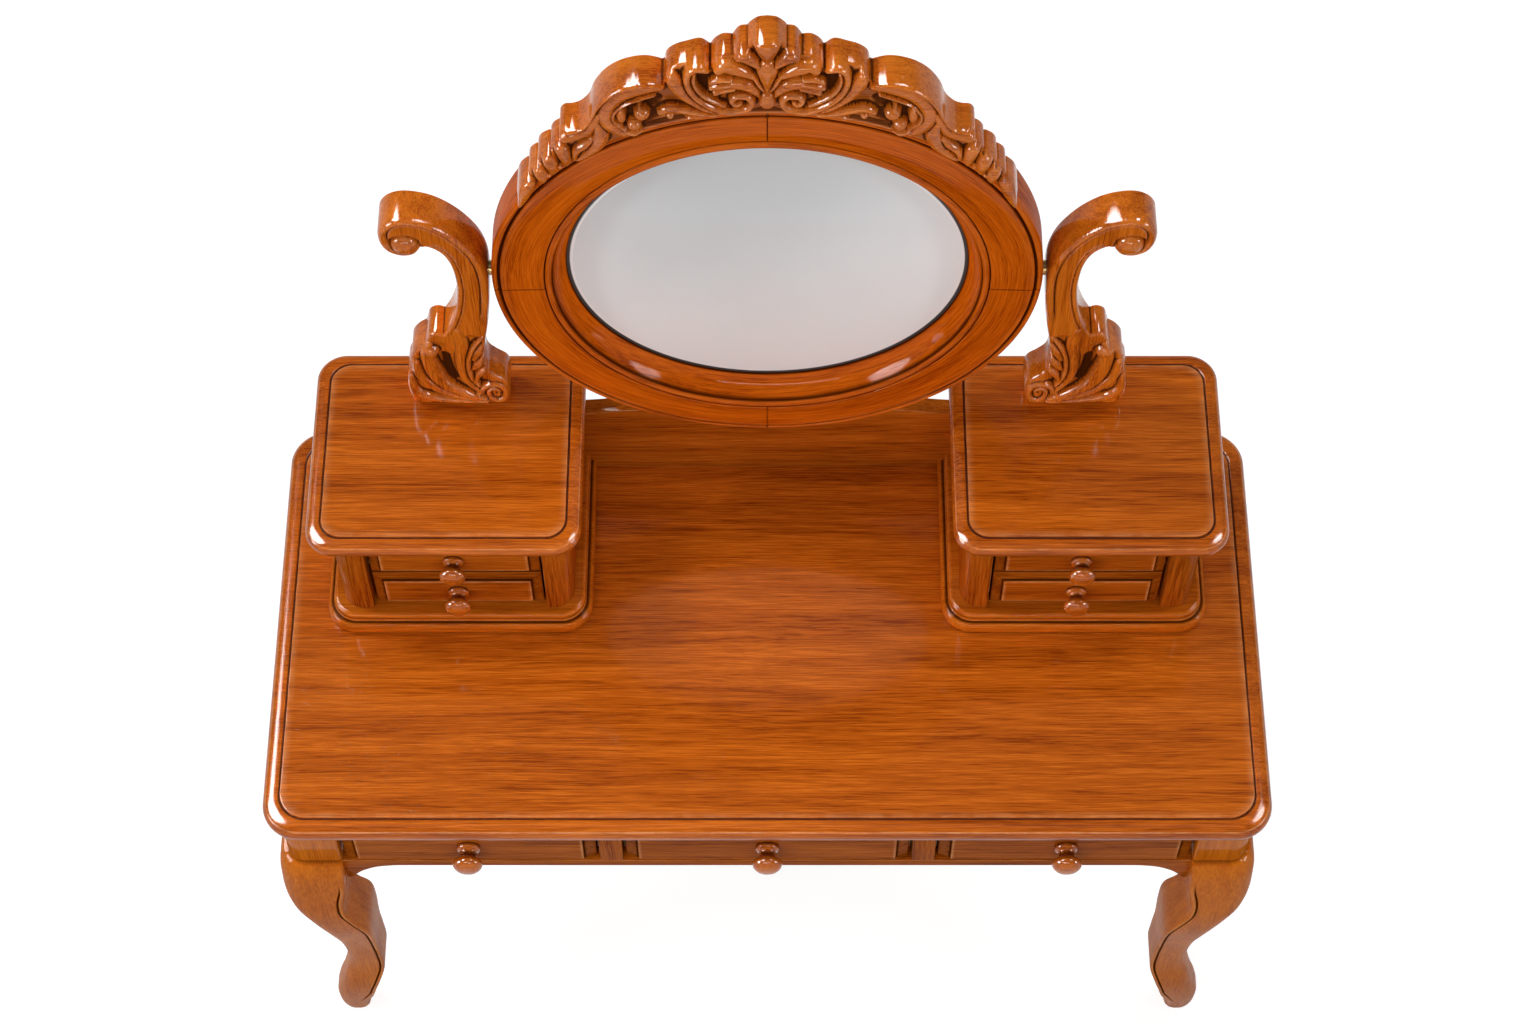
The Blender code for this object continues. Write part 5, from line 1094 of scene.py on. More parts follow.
@dataclass
class Mirror(Assembly):
    """The tilting mirror: four quarters of the oval frame, its inner moulding, glass and back."""
    AXIS = (0.0, 0.21925, 1.178)
    RING_HALF = (0.3085, 0.320)
    GROOVE_HALF = (0.2495, 0.270)
    SIGHT_HALF = (0.2255, 0.234)
    front_y: float = 0.19725
    ring_depth: float = 0.050
    cove_depth: float = 0.027
    seam_drop: float = 0.014
    gap: float = 0.0003
    quarter_steps: int = 44
    # Frame section: share of the width from the inner oval out, and of the depth from the front back
    frame_shares: tuple[Flat, ...] = (
        (0.0, 0.99), (0.0, 0.075), (0.006, 0.032), (0.017, 0.008), (0.034, 0.0), (0.30, -0.001), (0.60, -0.001), (0.795, 0.0),
        (0.818, 0.006), (0.832, 0.026), (0.842, 0.056), (0.852, 0.078), (0.864, 0.086), (0.876, 0.080), (0.886, 0.058),
        (0.898, 0.034), (0.912, 0.016), (0.930, 0.006), (0.946, 0.004), (0.962, 0.012), (0.976, 0.032), (0.988, 0.064),
        (0.997, 0.11), (1.0, 0.17), (1.0, 0.96), (0.99, 0.99), (0.97, 1.0), (0.02, 1.0))
    # Bead and cove of the inner moulding: share of the band from outside in, and of the cove's depth
    moulding_shares: tuple[Flat, ...] = (
        (0.0, 0.14), (0.02, 0.055), (0.06, 0.008), (0.13, -0.020), (0.22, -0.030), (0.29, -0.012), (0.335, 0.028), (0.36, 0.075),
        (0.38, 0.13), (0.42, 0.245), (0.46, 0.355), (0.53, 0.505), (0.60, 0.62), (0.69, 0.735), (0.78, 0.82), (0.88, 0.89),
        (0.94, 0.915), (0.975, 0.925), (1.0, 0.95))

    def place(self, half_width: float, half_height: float, angle: float, behind: float) -> Point:
        """Point of an oval round the mirror's middle, so far behind the front plane."""
        return (half_width * math.cos(angle), self.front_y + behind, self.AXIS[2] + half_height * math.sin(angle))

    def quarter(self, start: float, end: float) -> Solid:
        """One quarter of the frame, its ends eased at the seams."""
        rings = []
        half_gap = self.gap / (2 * self.GROOVE_HALF[0])
        ends = [(half_gap, 0.0006), (half_gap + 0.0011, 0.0), (half_gap + 0.0050, 0.0)]
        angles = [(start + turn, ease) for turn, ease in ends]
        inner = [start + (end - start) * i / self.quarter_steps for i in range(1, self.quarter_steps)]
        angles += [(angle, 0.0) for angle in inner] + [(end - turn, ease) for turn, ease in reversed(ends)]
        for angle, ease in angles:
            ring = []
            for out, back in self.frame_shares:
                wide = self.GROOVE_HALF[0] + (self.RING_HALF[0] - self.GROOVE_HALF[0]) * out
                tall = self.GROOVE_HALF[1] + (self.RING_HALF[1] - self.GROOVE_HALF[1]) * out
                behind = self.ring_depth * back
                behind = min(max(behind, ease), self.ring_depth - ease)
                ring.append(self.place(wide, tall, angle, behind))
            rings.append(ring)
        # Painted shade on the frame's inner edge by the moulding and in the groove inside its outer bead, painted
        # highlights beside them; the seams at the quarters' ends are darkened as joint lines.
        painted_light_marks = [1.0, 1.0, 0.7, -0.35, 0.0, 0.0, 0.0, -0.2, -0.3, 0.35, 0.9, 1.0, 1.0, 1.0, 0.8, 0.35, 0.0, -0.3] + [0.0] * 10
        ends = [1.0, 0.6, 0.0] + [0.0] * (len(rings) - 6) + [0.0, 0.6, 1.0]
        return Solid().loft(rings, ring_painted_light=ends, point_painted_light=painted_light_marks)

    def moulding(self) -> Solid:
        """Closed moulding between the frame and the glass."""
        outer = (self.GROOVE_HALF[0] - self.gap, self.GROOVE_HALF[1] - self.gap)
        band = (outer[0] - self.SIGHT_HALF[0], outer[1] - self.SIGHT_HALF[1])
        rest = 0.0083
        back = self.cove_depth + 0.0043
        section = [(outer[0] - band[0] * s, outer[1] - band[1] * s, self.cove_depth * d) for s, d in self.moulding_shares]
        section += [(self.SIGHT_HALF[0], self.SIGHT_HALF[1], self.cove_depth),
                    (self.SIGHT_HALF[0] + rest, self.SIGHT_HALF[1] + rest, self.cove_depth),
                    (self.SIGHT_HALF[0] + rest, self.SIGHT_HALF[1] + rest, back), (outer[0], outer[1], back)]
        steps = 4 * self.quarter_steps
        rings = [[self.place(w, h, 2 * math.pi * i / steps, depth) for w, h, depth in section] for i in range(steps)]
        # Painted shade at the moulding's outer edge by the frame, in the groove behind the bead and where the cove
        # meets the glass; a painted highlight on the bead.
        painted_light_marks = [1.0, 0.6, 0.0, -0.1, -0.35, 0.0, 0.5, 0.95, 0.8, 0.2] + [0.0] * 6 + [0.25, 0.7, 1.0] + [1.0] * 4
        return Solid().loft(rings, around=True, point_painted_light=painted_light_marks)

    def oval_board(self, node: str, half: Flat, ease: float) -> Solid:
        """Flat oval board inside a node's depth."""
        low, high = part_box(node)
        steps = 4 * self.quarter_steps
        outline = [(half[0] * math.cos(t), self.AXIS[2] + half[1] * math.sin(t)) for t in (2 * math.pi * i / steps for i in range(steps))]
        return plate(outline, low[1], high[1], ease, 2).moved(lambda p: (p[0], p[2], p[1]))

    def build(self) -> None:
        """Make the frame and all it holds."""
        drop = math.asin(self.seam_drop / self.RING_HALF[1])
        seams = (-drop, math.pi / 2, math.pi + drop, 3 * math.pi / 2, 2 * math.pi - drop)
        wood = self.finishes.lacquered(Wood.RING, Grain.ROUND)
        for which, start, end in zip(("upper_right", "upper_left", "lower_left", "lower_right"), seams, seams[1:]):
            node = "mirror_frame_" + which
            self.add("oval_" + node, self.quarter(start, end), wood, "mirror", node)
        self.add("coved_mirror_inner_moulding", self.moulding(), wood, "mirror", "mirror_inner_moulding", smooth_angle=40.0)
        rest = 0.008
        self.add("silvered_mirror_glass", self.oval_board("mirror_glass", (self.SIGHT_HALF[0] + rest, self.SIGHT_HALF[1] + rest), 0.0005),
                 self.finishes.other(SilveredGlass()), "mirror", "mirror_glass", slot="mirror_glass")
        board = (self.GROOVE_HALF[0] - self.gap, self.GROOVE_HALF[1] - self.gap)
        self.add("flat_mirror_backing_board", self.oval_board("mirror_backing_board", board, 0.0008),
                 self.finishes.other(BACKING_WOOD), "mirror", "mirror_backing_board", slot="backing_wood")
        for side in ("left", "right"):
            self.dress("mirror_pivot_" + side, self.finishes.other(Brass()))


@dataclass(frozen=True)
class Stroke:
    """One pass of the carver's gouge: a tapering round form, or a hollow, along a path.

    The path's points are place along, place up, half width and height over the front plane, both in millimetres.
    """
    path: tuple[tuple[float, float, float, float], ...]
    hollow: bool = False
    foot: float = -7.0


@dataclass
class Carving(Assembly):
    """A carved board: an outline, a front worked by strokes, straight sides and a flat back."""
    spacing: float = 0.0013
    rim: float = 0.0042
    ground: float = -0.0050
    path_steps: int = 5

    def at(self, along: float, up: float) -> Flat:
        """Place of the carver's measures in the frame's X and Z."""
        raise NotImplementedError

    def traced(self, stroke: Stroke) -> np.ndarray:
        """Smooth path of a stroke in metres: X, Z, half width and height."""
        rows = [(*self.at(a, b), w / 1000, h / 1000) for a, b, w, h in stroke.path]
        return np.array(smooth_run(rows, self.path_steps) if len(rows) > 2 else rows)

    @staticmethod
    def nearness(points: np.ndarray, path: np.ndarray) -> tuple[np.ndarray, np.ndarray]:
        """Distance to a tapering path as a share of its half width, and its height there.

        Args:
            points: X and Z of each point.
            path: The traced path.

        Returns:
            The share, one or more outside the stroke, and the height.
        """
        share = np.full(len(points), 9.0)
        height = np.zeros(len(points))
        segments = list(zip(path, path[1:])) or [(path[0], path[0])]
        for start, end in segments:
            step = end[:2] - start[:2]
            length = float(step @ step)
            t = np.zeros(len(points)) if length < 1e-12 else np.clip((points - start[:2]) @ step / length, 0.0, 1.0)
            away = np.hypot(*(points - start[:2] - t[:, None] * step).T)
            wide = start[2] + (end[2] - start[2]) * t
            here = away / np.maximum(wide, 1e-5)
            closer = here < share
            share[closer] = here[closer]
            height[closer] = (start[3] + (end[3] - start[3]) * t)[closer]
        return share, height

    def relief(self, points: np.ndarray, strokes: Sequence[Stroke]) -> np.ndarray:
        """Height of the worked front over its plane at each point."""
        height = np.full(len(points), self.ground)
        for stroke in sorted(strokes, key=lambda s: not s.hollow):
            path = self.traced(stroke)
            reach = path[:, 2].max()
            low, high = path[:, :2].min(axis=0) - reach, path[:, :2].max(axis=0) + reach
            near = np.all((points > low) & (points < high), axis=1)
            if not near.any():
                continue
            share, top = self.nearness(points[near], path)
            inside = share < 1.0
            part = height[near]
            if stroke.hollow:
                soft = (1.0 - share[inside] ** 2) ** 1.5
                part[inside] = np.minimum(part[inside], part[inside] * (1 - soft) + top[inside] * soft)
            else:
                foot = stroke.foot / 1000
                part[inside] = np.maximum(part[inside], foot + (top[inside] - foot) * np.sqrt(1.0 - share[inside] ** 2))
            height[near] = part
        return height

    @staticmethod
    def off_edge(points: np.ndarray, outline: np.ndarray) -> np.ndarray:
        """Distance of each point from a closed outline."""
        nearest = np.full(len(points), 1.0)
        for start, end in zip(outline, np.roll(outline, -1, axis=0)):
            step = end - start
            t = np.clip((points - start) @ step / max(float(step @ step), 1e-12), 0.0, 1.0)
            nearest = np.minimum(nearest, np.hypot(*(points - start - t[:, None] * step).T))
        return nearest

    @staticmethod
    def within(points: np.ndarray, outline: np.ndarray) -> np.ndarray:
        """Whether each point is inside a closed outline."""
        inside = np.zeros(len(points), dtype=bool)
        x, y = points.T
        for (x0, y0), (x1, y1) in zip(outline, np.roll(outline, -1, axis=0)):
            if y0 == y1:
                continue
            crosses = (y0 > y) != (y1 > y)
            inside ^= crosses & (x < (x1 - x0) * (y - y0) / (y1 - y0) + x0)
        return inside

    def heights(self, points: np.ndarray, edge: np.ndarray) -> np.ndarray:
        """Height of the finished front at each point, given its distance from the outline."""
        raise NotImplementedError

    @staticmethod
    def painted_light_marks_of(height: np.ndarray, faces: Sequence[tuple[int, ...]]) -> np.ndarray:
        """Painted light of each point of a carved front: painted shade in the hollows and on the deep ground, painted
        highlights on the ridges.

        Args:
            height: Height of each point.
            faces: Faces between the points.

        Returns:
            The painted light marks.
        """
        pairs = np.array([(face[i - 1], face[i]) for face in faces for i in range(len(face))])
        count = np.bincount(pairs[:, 0], minlength=len(height)) + np.bincount(pairs[:, 1], minlength=len(height))
        mean = height.copy()
        for _ in range(5):
            total = np.zeros(len(height))
            np.add.at(total, pairs[:, 0], mean[pairs[:, 1]])
            np.add.at(total, pairs[:, 1], mean[pairs[:, 0]])
            mean = 0.4 * mean + 0.6 * total / np.maximum(count, 1)
        # A point below the mean of its neighbours gets painted shade, one above it a weaker painted highlight; deep
        # ground gets more painted shade.
        local = (mean - height) / 0.0010
        depth = np.clip((-height - 0.0045) / 0.0055, 0.0, 0.8)
        return np.clip(np.where(local > 0, local * 1.1, local * 0.35) + depth, -0.45, 1.0)

    @staticmethod
    def creases(points: np.ndarray, ahead: dict[int, int], reach: int = 2) -> dict[int, float]:
        """Painted shade of the outline's points: dark where it turns inwards, in the creases between lobes."""
        painted_light_marks: dict[int, float] = {}
        for start in list(ahead):
            if start in painted_light_marks:
                continue
            loop = [start]
            while ahead[loop[-1]] != start:
                loop.append(ahead[loop[-1]])
            places = points[loop]
            first = places - np.roll(places, reach, axis=0)
            second = np.roll(places, -reach, axis=0) - places
            turn = first[:, 0] * second[:, 1] - first[:, 1] * second[:, 0]
            turn /= np.maximum(np.hypot(*first.T) * np.hypot(*second.T), 1e-12)
            area = float(np.sum(places[:, 0] * np.roll(places[:, 1], -1) - np.roll(places[:, 0], -1) * places[:, 1]))
            turn *= 1.0 if area > 0 else -1.0
            for point, bend in zip(loop, turn):
                painted_light_marks[point] = float(np.clip((-bend - 0.30) * 1.8, 0.0, 0.9))
        return painted_light_marks

    def carve(self, outline: Sequence[Flat], guides: Sequence[Sequence[Flat]], front: float, back: float) -> Solid:
        """Make the carved board.

        Args:
            outline: Its outline in X and Z.
            guides: Open lines that the mesh follows.
            front: The front plane's Y.
            back: The back's Y.

        Returns:
            The solid.
        """
        rim = np.array(even_outline(outline, self.spacing))
        low, high = rim.min(axis=0), rim.max(axis=0)
        rows = np.arange(low[1], high[1], self.spacing * 0.866)
        grid = [(x + (self.spacing / 2 if i % 2 else 0.0), z) for i, z in enumerate(rows)
                for x in np.arange(low[0], high[0], self.spacing)]
        grid = np.array(grid)
        grid = grid[self.within(grid, rim)]
        grid = grid[self.off_edge(grid, rim) > self.spacing * 0.6]
        edges = [(i, (i + 1) % len(rim)) for i in range(len(rim))]
        lines = []
        for guide in guides:
            start = len(rim) + sum(len(line) for line in lines)
            lines.append(list(guide))
            edges += [(start + i, start + i + 1) for i in range(len(guide) - 1)]
        flat = [tuple(p) for p in rim] + [p for line in lines for p in line]
        if lines:
            near = np.array([p for line in lines for p in line])
            clear = np.array([np.hypot(*(near - p).T).min() > self.spacing * 0.55 for p in grid])
            grid = grid[clear]
        flat += [tuple(p) for p in grid]
        made = delaunay_2d_cdt([Vector(p) for p in flat], edges, [], 1, 1e-7)
        points = np.array([tuple(v) for v in made[0]])
        faces = [tuple(face) for face in made[2]]
        height = self.heights(points, self.off_edge(points, rim))
        # Painted light of the carved front, faded out over the rounded rim.
        painted_light_marks = self.painted_light_marks_of(height, faces) * np.clip(self.off_edge(points, rim) / self.rim - 0.15, 0.0, 1.0)
        solid = Solid([(x, front - h, z) for (x, z), h in zip(points, height)], [])
        ahead: dict[int, int] = {}
        used: set[tuple[int, int]] = {(face[i - 1], face[i]) for face in faces for i in range(len(face))}
        for a, b in used:
            if (b, a) not in used:
                ahead[a] = b
        solid.faces = [face for face in faces]
        behind: dict[int, int] = {}
        crease = self.creases(points, ahead)
        wall: dict[int, int] = {}
        for ends, depth in ((wall, back - 0.001), (behind, back)):
            for a in ahead:
                ends[a] = len(solid.points)
                solid.points.append((solid.points[a][0], depth, solid.points[a][2]))
        # The outline and the side wall's front edge take painted shade in the creases between lobes; the back edge
        # takes none.
        for a in ahead:
            painted_light_marks[a] = max(painted_light_marks[a], crease[a]) if crease[a] > 0.05 else painted_light_marks[a]
        solid.painted_light_marks = [float(painted_light_mark) for painted_light_mark in painted_light_marks] + [crease[a] for a in ahead] + [0.0] * len(ahead)
        for a, b in ahead.items():
            solid.faces += [(b, a, wall[a], wall[b]), (wall[b], wall[a], behind[a], behind[b])]
        left = dict(ahead)
        while left:
            first, here = next(iter(left.items()))
            loop = [first]
            del left[first]
            while here != first:
                loop.append(here)
                here = left.pop(here)
            solid.faces.append(tuple(behind[a] for a in reversed(loop)))
        return solid


@dataclass
class Crown(Carving):
    """Carved crown of the mirror: measures are degrees from the top and the rise as a share."""
    rise: float = 0.1350
    inset: float = 0.0065
    front_y: float = 0.18775
    back_y: float = 0.22375
    proud: float = 0.0095
    seat_gap: float = 0.0003
    seat_end: float = 58.5
    outline_runs: tuple[tuple[Flat, ...], ...] = (
        ((0.0, 1.0), (1.3, 0.985), (2.4, 0.925)), ((2.7, 0.895), (3.8, 0.885), (4.7, 0.815)),
        ((4.9, 0.795), (6.2, 0.805), (7.5, 0.760), (8.3, 0.700)),
        ((8.6, 0.715), (9.6, 0.775), (11.5, 0.762), (13.4, 0.740), (14.9, 0.690), (15.8, 0.605)),
        ((16.2, 0.595), (18.5, 0.675), (21.8, 0.690), (25.0, 0.645), (28.2, 0.545), (30.6, 0.440), (32.9, 0.395),
         (34.5, 0.400), (35.8, 0.430), (37.2, 0.405), (38.2, 0.340)),
        ((38.7, 0.310), (40.3, 0.312), (41.8, 0.285), (42.4, 0.245)), ((42.9, 0.265), (44.6, 0.272), (46.2, 0.245), (46.9, 0.205)),
        ((47.4, 0.220), (49.0, 0.222), (50.6, 0.190), (51.2, 0.150)),
        ((51.8, 0.168), (54.0, 0.172), (56.5, 0.138), (58.5, 0.088), (60.0, 0.056)))
    # Lower edge of the raised front over the frame's bead
    low_edge: tuple[Flat, ...] = (
        (0.0, 0.168), (5.0, 0.100), (8.7, 0.124), (12.3, 0.139), (19.8, 0.154), (24.3, 0.109), (29.2, 0.064),
        (36.0, 0.060), (43.5, 0.080), (52.0, 0.055), (61.0, 0.030))
    strokes: tuple[Stroke, ...] = (
        # Middle: keystone lobe, tulip and ball
        Stroke(((0, 0.965, 15, 4.2), (0, 0.90, 12, 5.2), (0, 0.83, 7.5, 4.4), (0, 0.785, 4, 2.5))),
        Stroke(((0, 0.735, 9, 4.5), (0, 0.665, 12, 5.6), (0, 0.585, 9.5, 5.2), (0, 0.505, 6, 4.2), (0, 0.44, 3.5, 2.5))),
        Stroke(((0, 0.345, 8.5, 4.2), (0, 0.275, 10.2, 5.4))),
        Stroke(((2.1, 0.61, 2.6, 2.5), (1.65, 0.55, 3.6, 3.2), (1.15, 0.485, 3.2, 2.8), (0.6, 0.425, 2.2, 1.5))),
        # Leaves of the middle, from the top down
        Stroke(((4.1, 0.830, 6.5, 3.2), (3.2, 0.835, 8.5, 4.5), (2.3, 0.790, 7, 4.2), (1.5, 0.735, 5, 3.0), (0.9, 0.69, 3, 1.0))),
        Stroke(((7.1, 0.690, 7, 3.6), (6.2, 0.725, 8, 4.3), (5.2, 0.705, 9, 4.8), (4.0, 0.668, 7.6, 4.4), (3.0, 0.630, 6, 3.4), (2.2, 0.585, 4, 1.6))),
        Stroke(((5.9, 0.650, 2.6, -7.0),), hollow=True),
        Stroke(((7.7, 0.505, 10, 3.6), (6.3, 0.525, 10, 4.2), (4.5, 0.515, 9.2, 4.6), (3.0, 0.475, 8, 4.0), (2.0, 0.41, 5.5, 2.8), (1.4, 0.35, 3, 0.8))),
        Stroke(((8.6, 0.575, 3.0, 3.6), (7.2, 0.602, 3.4, 5.4), (5.6, 0.590, 2.6, 5.0)), foot=0.5),
        Stroke(((8.8, 0.505, 3.2, 3.8), (7.4, 0.535, 3.6, 5.8), (5.6, 0.535, 2.6, 5.4)), foot=0.5),
        Stroke(((8.4, 0.435, 3.0, 3.4), (7.1, 0.470, 3.4, 5.2), (5.4, 0.480, 2.6, 4.8)), foot=0.5),
        # C scroll with its volute
        Stroke(((8.9, 0.715, 6, 3.4), (9.4, 0.735, 6, 4.4), (10.4, 0.745, 5.2, 4.6), (11.5, 0.705, 4.8, 4.6), (12.2, 0.62, 4.6, 4.6),
                (12.35, 0.52, 4.6, 4.6), (11.9, 0.42, 4.6, 4.4), (11.0, 0.335, 4.6, 4.2), (9.8, 0.265, 4.8, 4.2), (8.2, 0.205, 5, 4.2),
                (6.6, 0.175, 5, 4.0), (5.0, 0.185, 4.8, 4.0), (3.6, 0.205, 4.8, 4.0), (2.75, 0.255, 4.8, 4.0), (2.75, 0.315, 4.8, 4.0),
                (3.5, 0.360, 4.8, 4.0), (4.7, 0.368, 4.6, 3.8), (5.7, 0.345, 4.2, 3.6), (6.0, 0.300, 4, 3.6), (5.4, 0.265, 3.6, 3.4), (4.6, 0.28, 3.2, 3.0))),
        Stroke(((10.9, 0.66, 2.6, 1.6), (11.3, 0.60, 3.0, 1.8), (11.35, 0.52, 3.0, 1.8), (10.9, 0.43, 3.0, 1.8), (10.0, 0.36, 3.0, 1.8),
                (8.8, 0.30, 3.0, 1.6), (7.4, 0.25, 2.6, 1.2))),
        Stroke(((10.0, 0.64, 7, -9.0), (9.9, 0.52, 8, -9.5), (9.3, 0.42, 7, -9.5), (8.2, 0.35, 6, -9.0)), hollow=True),
        # Leaf outside the C scroll
        Stroke(((14.3, 0.695, 6, 3.0), (14.2, 0.62, 9.6, 4.6), (14.0, 0.52, 9.2, 4.8), (13.4, 0.42, 7, 4.2), (12.5, 0.335, 5, 3.2),
                (11.2, 0.25, 4, 2.6), (10.0, 0.20, 3, 1.5))),
        Stroke(((14.6, 0.71, 1.4, 0.8), (14.3, 0.60, 1.6, 1.6), (14.0, 0.50, 1.6, 1.8), (13.2, 0.40, 1.4, 1.2)), hollow=True),
        # Small leaf with its curl, and the line under it
        Stroke(((18.8, 0.285, 4.4, 2.2), (17.6, 0.310, 5.4, 3.4), (16.4, 0.308, 5.4, 3.6), (14.6, 0.258, 5.2, 3.6), (12.2, 0.195, 4.6, 3.0), (9.4, 0.145, 3.2, 1.8))),
        Stroke(((17.4, 0.232, 5.4, 3.6),)),
        Stroke(((17.0, 0.105, 3.0, 0.2), (14.5, 0.135, 3.4, 1.4), (12.0, 0.150, 3.2, 1.4), (9.8, 0.155, 2.6, 0.4))),
        # Arch with its beaded rim, turning down as a C
        Stroke(((17.0, 0.56, 8, -0.5), (18.5, 0.585, 10, 0.6), (20.5, 0.585, 10.5, 1.0), (22.5, 0.575, 10.5, 1.2), (24.4, 0.545, 10.5, 1.4),
                (26.2, 0.490, 10.5, 1.6), (27.6, 0.42, 10.5, 1.8), (28.5, 0.345, 10, 2.0), (28.6, 0.27, 9.5, 2.0), (28.2, 0.20, 8.5, 1.6), (27.6, 0.14, 6.5, 0.6))),
        Stroke(((16.4, 0.575, 3.4, 1.4), (17.6, 0.632, 3.8, 3.2), (19.0, 0.664, 4.0, 4.0), (21.8, 0.672, 4.0, 4.2), (24.6, 0.635, 4.0, 4.2), (27.4, 0.560, 4.0, 4.2),
                (29.4, 0.480, 3.8, 4.0), (31.2, 0.418, 3.6, 3.8), (33.0, 0.378, 3.6, 3.6), (34.6, 0.385, 3.4, 3.4), (35.8, 0.408, 3.2, 3.0))),
        Stroke(((18.0, 0.620, 1.3, -1.6), (20.0, 0.638, 1.3, -1.6), (22.5, 0.636, 1.3, -1.6), (25.2, 0.590, 1.3, -1.6), (27.6, 0.520, 1.3, -1.6), (29.4, 0.445, 1.3, -1.6)), hollow=True),
        Stroke(((18.0, 0.505, 2.0, 1.2), (21.0, 0.497, 2.2, 2.2), (23.6, 0.477, 2.2, 2.4), (25.8, 0.425, 2.2, 2.6), (26.9, 0.36, 2.2, 2.6),
                (27.1, 0.30, 2.2, 2.6), (26.8, 0.24, 2.2, 2.4), (26.7, 0.18, 2.0, 1.6))),
        Stroke(((18.4, 0.42, 8, -8.0), (20.5, 0.39, 13, -9.0), (23.2, 0.35, 15, -9.5), (25.2, 0.29, 11, -9.0), (25.4, 0.20, 9, -9.0), (24.0, 0.16, 8, -8.5), (20.5, 0.25, 12, -9.0)), hollow=True),
        Stroke(((24.8, 0.425, 2.4, -1.0), (25.3, 0.375, 5.6, 2.2), (25.8, 0.320, 5.2, 2.2), (25.9, 0.28, 2.6, -0.5))),
        Stroke(((22.0, 0.310, 9.2, 4.6),)),
        Stroke(((21.9, 0.355, 3.2, 1.8), (21.6, 0.415, 1.6, -1.0))),
        Stroke(((24.6, 0.205, 8.2, 4.0),)),
        Stroke(((27.0, 0.165, 3.2, 1.2), (26.2, 0.130, 4.0, 2.2), (25.2, 0.108, 4.0, 2.2), (24.2, 0.105, 3.0, 1.0))),
        # Fan leaf under the toe of the ogee
        Stroke(((29.9, 0.40, 3.0, 2.0), (30.5, 0.31, 6.6, 3.8), (31.5, 0.21, 9.4, 4.6), (33.2, 0.14, 8.4, 4.6), (35.8, 0.105, 6.2, 4.0), (38.2, 0.085, 4.4, 3.0), (39.8, 0.075, 2.4, 1.0))),
        Stroke(((30.5, 0.33, 1.2, 0.6), (31.4, 0.22, 1.6, 1.2), (33.0, 0.155, 1.6, 1.4), (35.6, 0.115, 1.2, 1.0)), hollow=True),
        Stroke(((30.2, 0.27, 1.0, 0.4), (30.9, 0.17, 1.4, 0.8), (32.4, 0.10, 1.4, 0.8)), hollow=True),
        # Ogee sweep and its toe
        Stroke(((29.0, 0.435, 6, 1.2), (30.6, 0.375, 8, 2.2), (32.4, 0.325, 8.4, 2.6), (34.2, 0.318, 8.6, 3.0), (35.8, 0.335, 9, 3.8), (37.0, 0.350, 8, 3.8))),
        Stroke(((29.9, 0.345, 2.0, -6.5), (31.5, 0.285, 2.4, -7.5), (33.2, 0.252, 2.6, -8.0), (35.3, 0.228, 3.0, -8.0), (37.0, 0.24, 3.2, -8.0), (38.2, 0.27, 3.0, -7.5)), hollow=True),
        Stroke(((33.4, 0.215, 4, 0.4), (35.4, 0.180, 5.4, 2.0), (37.4, 0.170, 5.4, 2.4), (38.9, 0.135, 4.6, 2.0), (39.8, 0.095, 3.4, 1.0))),
        # Stack of four lobes
        Stroke(((39.9, 0.245, 8.6, 3.6), (40.5, 0.19, 8.6, 4.2), (41.3, 0.13, 7, 3.6), (42.2, 0.085, 4, 1.4))),
        Stroke(((43.0, 0.235, 6, 1.6), (43.9, 0.205, 8.6, 3.8), (44.7, 0.15, 8.2, 4.0), (45.5, 0.10, 6, 2.8), (46.2, 0.07, 3.6, 0.8))),
        Stroke(((47.2, 0.185, 6, 1.6), (47.9, 0.155, 8.2, 3.6), (48.7, 0.105, 7.6, 3.6), (49.5, 0.07, 4.6, 1.6))),
        Stroke(((51.6, 0.135, 6, 1.6), (53.2, 0.125, 9, 3.6), (55.4, 0.092, 8, 3.6), (57.8, 0.060, 5.4, 2.2), (59.4, 0.045, 3, 0.6))),
        Stroke(((43.6, 0.105, 3.6, 1.6),)), Stroke(((47.3, 0.085, 3.2, 1.2),)))

    def at(self, along: float, up: float) -> Flat:
        """Place at an angle from the top and a rise share, on the left half."""
        rise = self.rise * up - self.inset
        turn = math.radians(along)
        return (-(Mirror.RING_HALF[0] + rise) * math.sin(turn), Mirror.AXIS[2] + (Mirror.RING_HALF[1] + rise) * math.cos(turn))

    def rise_of(self, points: np.ndarray) -> tuple[np.ndarray, np.ndarray]:
        """Angle from the top in degrees, and rise share, of points in the frame's X and Z."""
        across, up = np.abs(points[:, 0]), points[:, 1] - Mirror.AXIS[2]
        rise = np.hypot(across, up) - Mirror.RING_HALF[0]
        for _ in range(8):
            wide, tall = Mirror.RING_HALF[0] + rise, Mirror.RING_HALF[1] + rise
            miss = (across / wide) ** 2 + (up / tall) ** 2 - 1
            rise = rise + miss / (2 * (across ** 2 / wide ** 3 + up ** 2 / tall ** 3))
        turn = np.arctan2(across / (Mirror.RING_HALF[0] + rise), up / (Mirror.RING_HALF[1] + rise))
        return np.degrees(turn), (rise + self.inset) / self.rise

    @staticmethod
    def both(left: Sequence[Flat]) -> list[Flat]:
        """Close a run of left-hand points, from the middle out, into a symmetrical one."""
        return [(-x, z) for x, z in reversed(left) if x < -0.0003] + list(left)

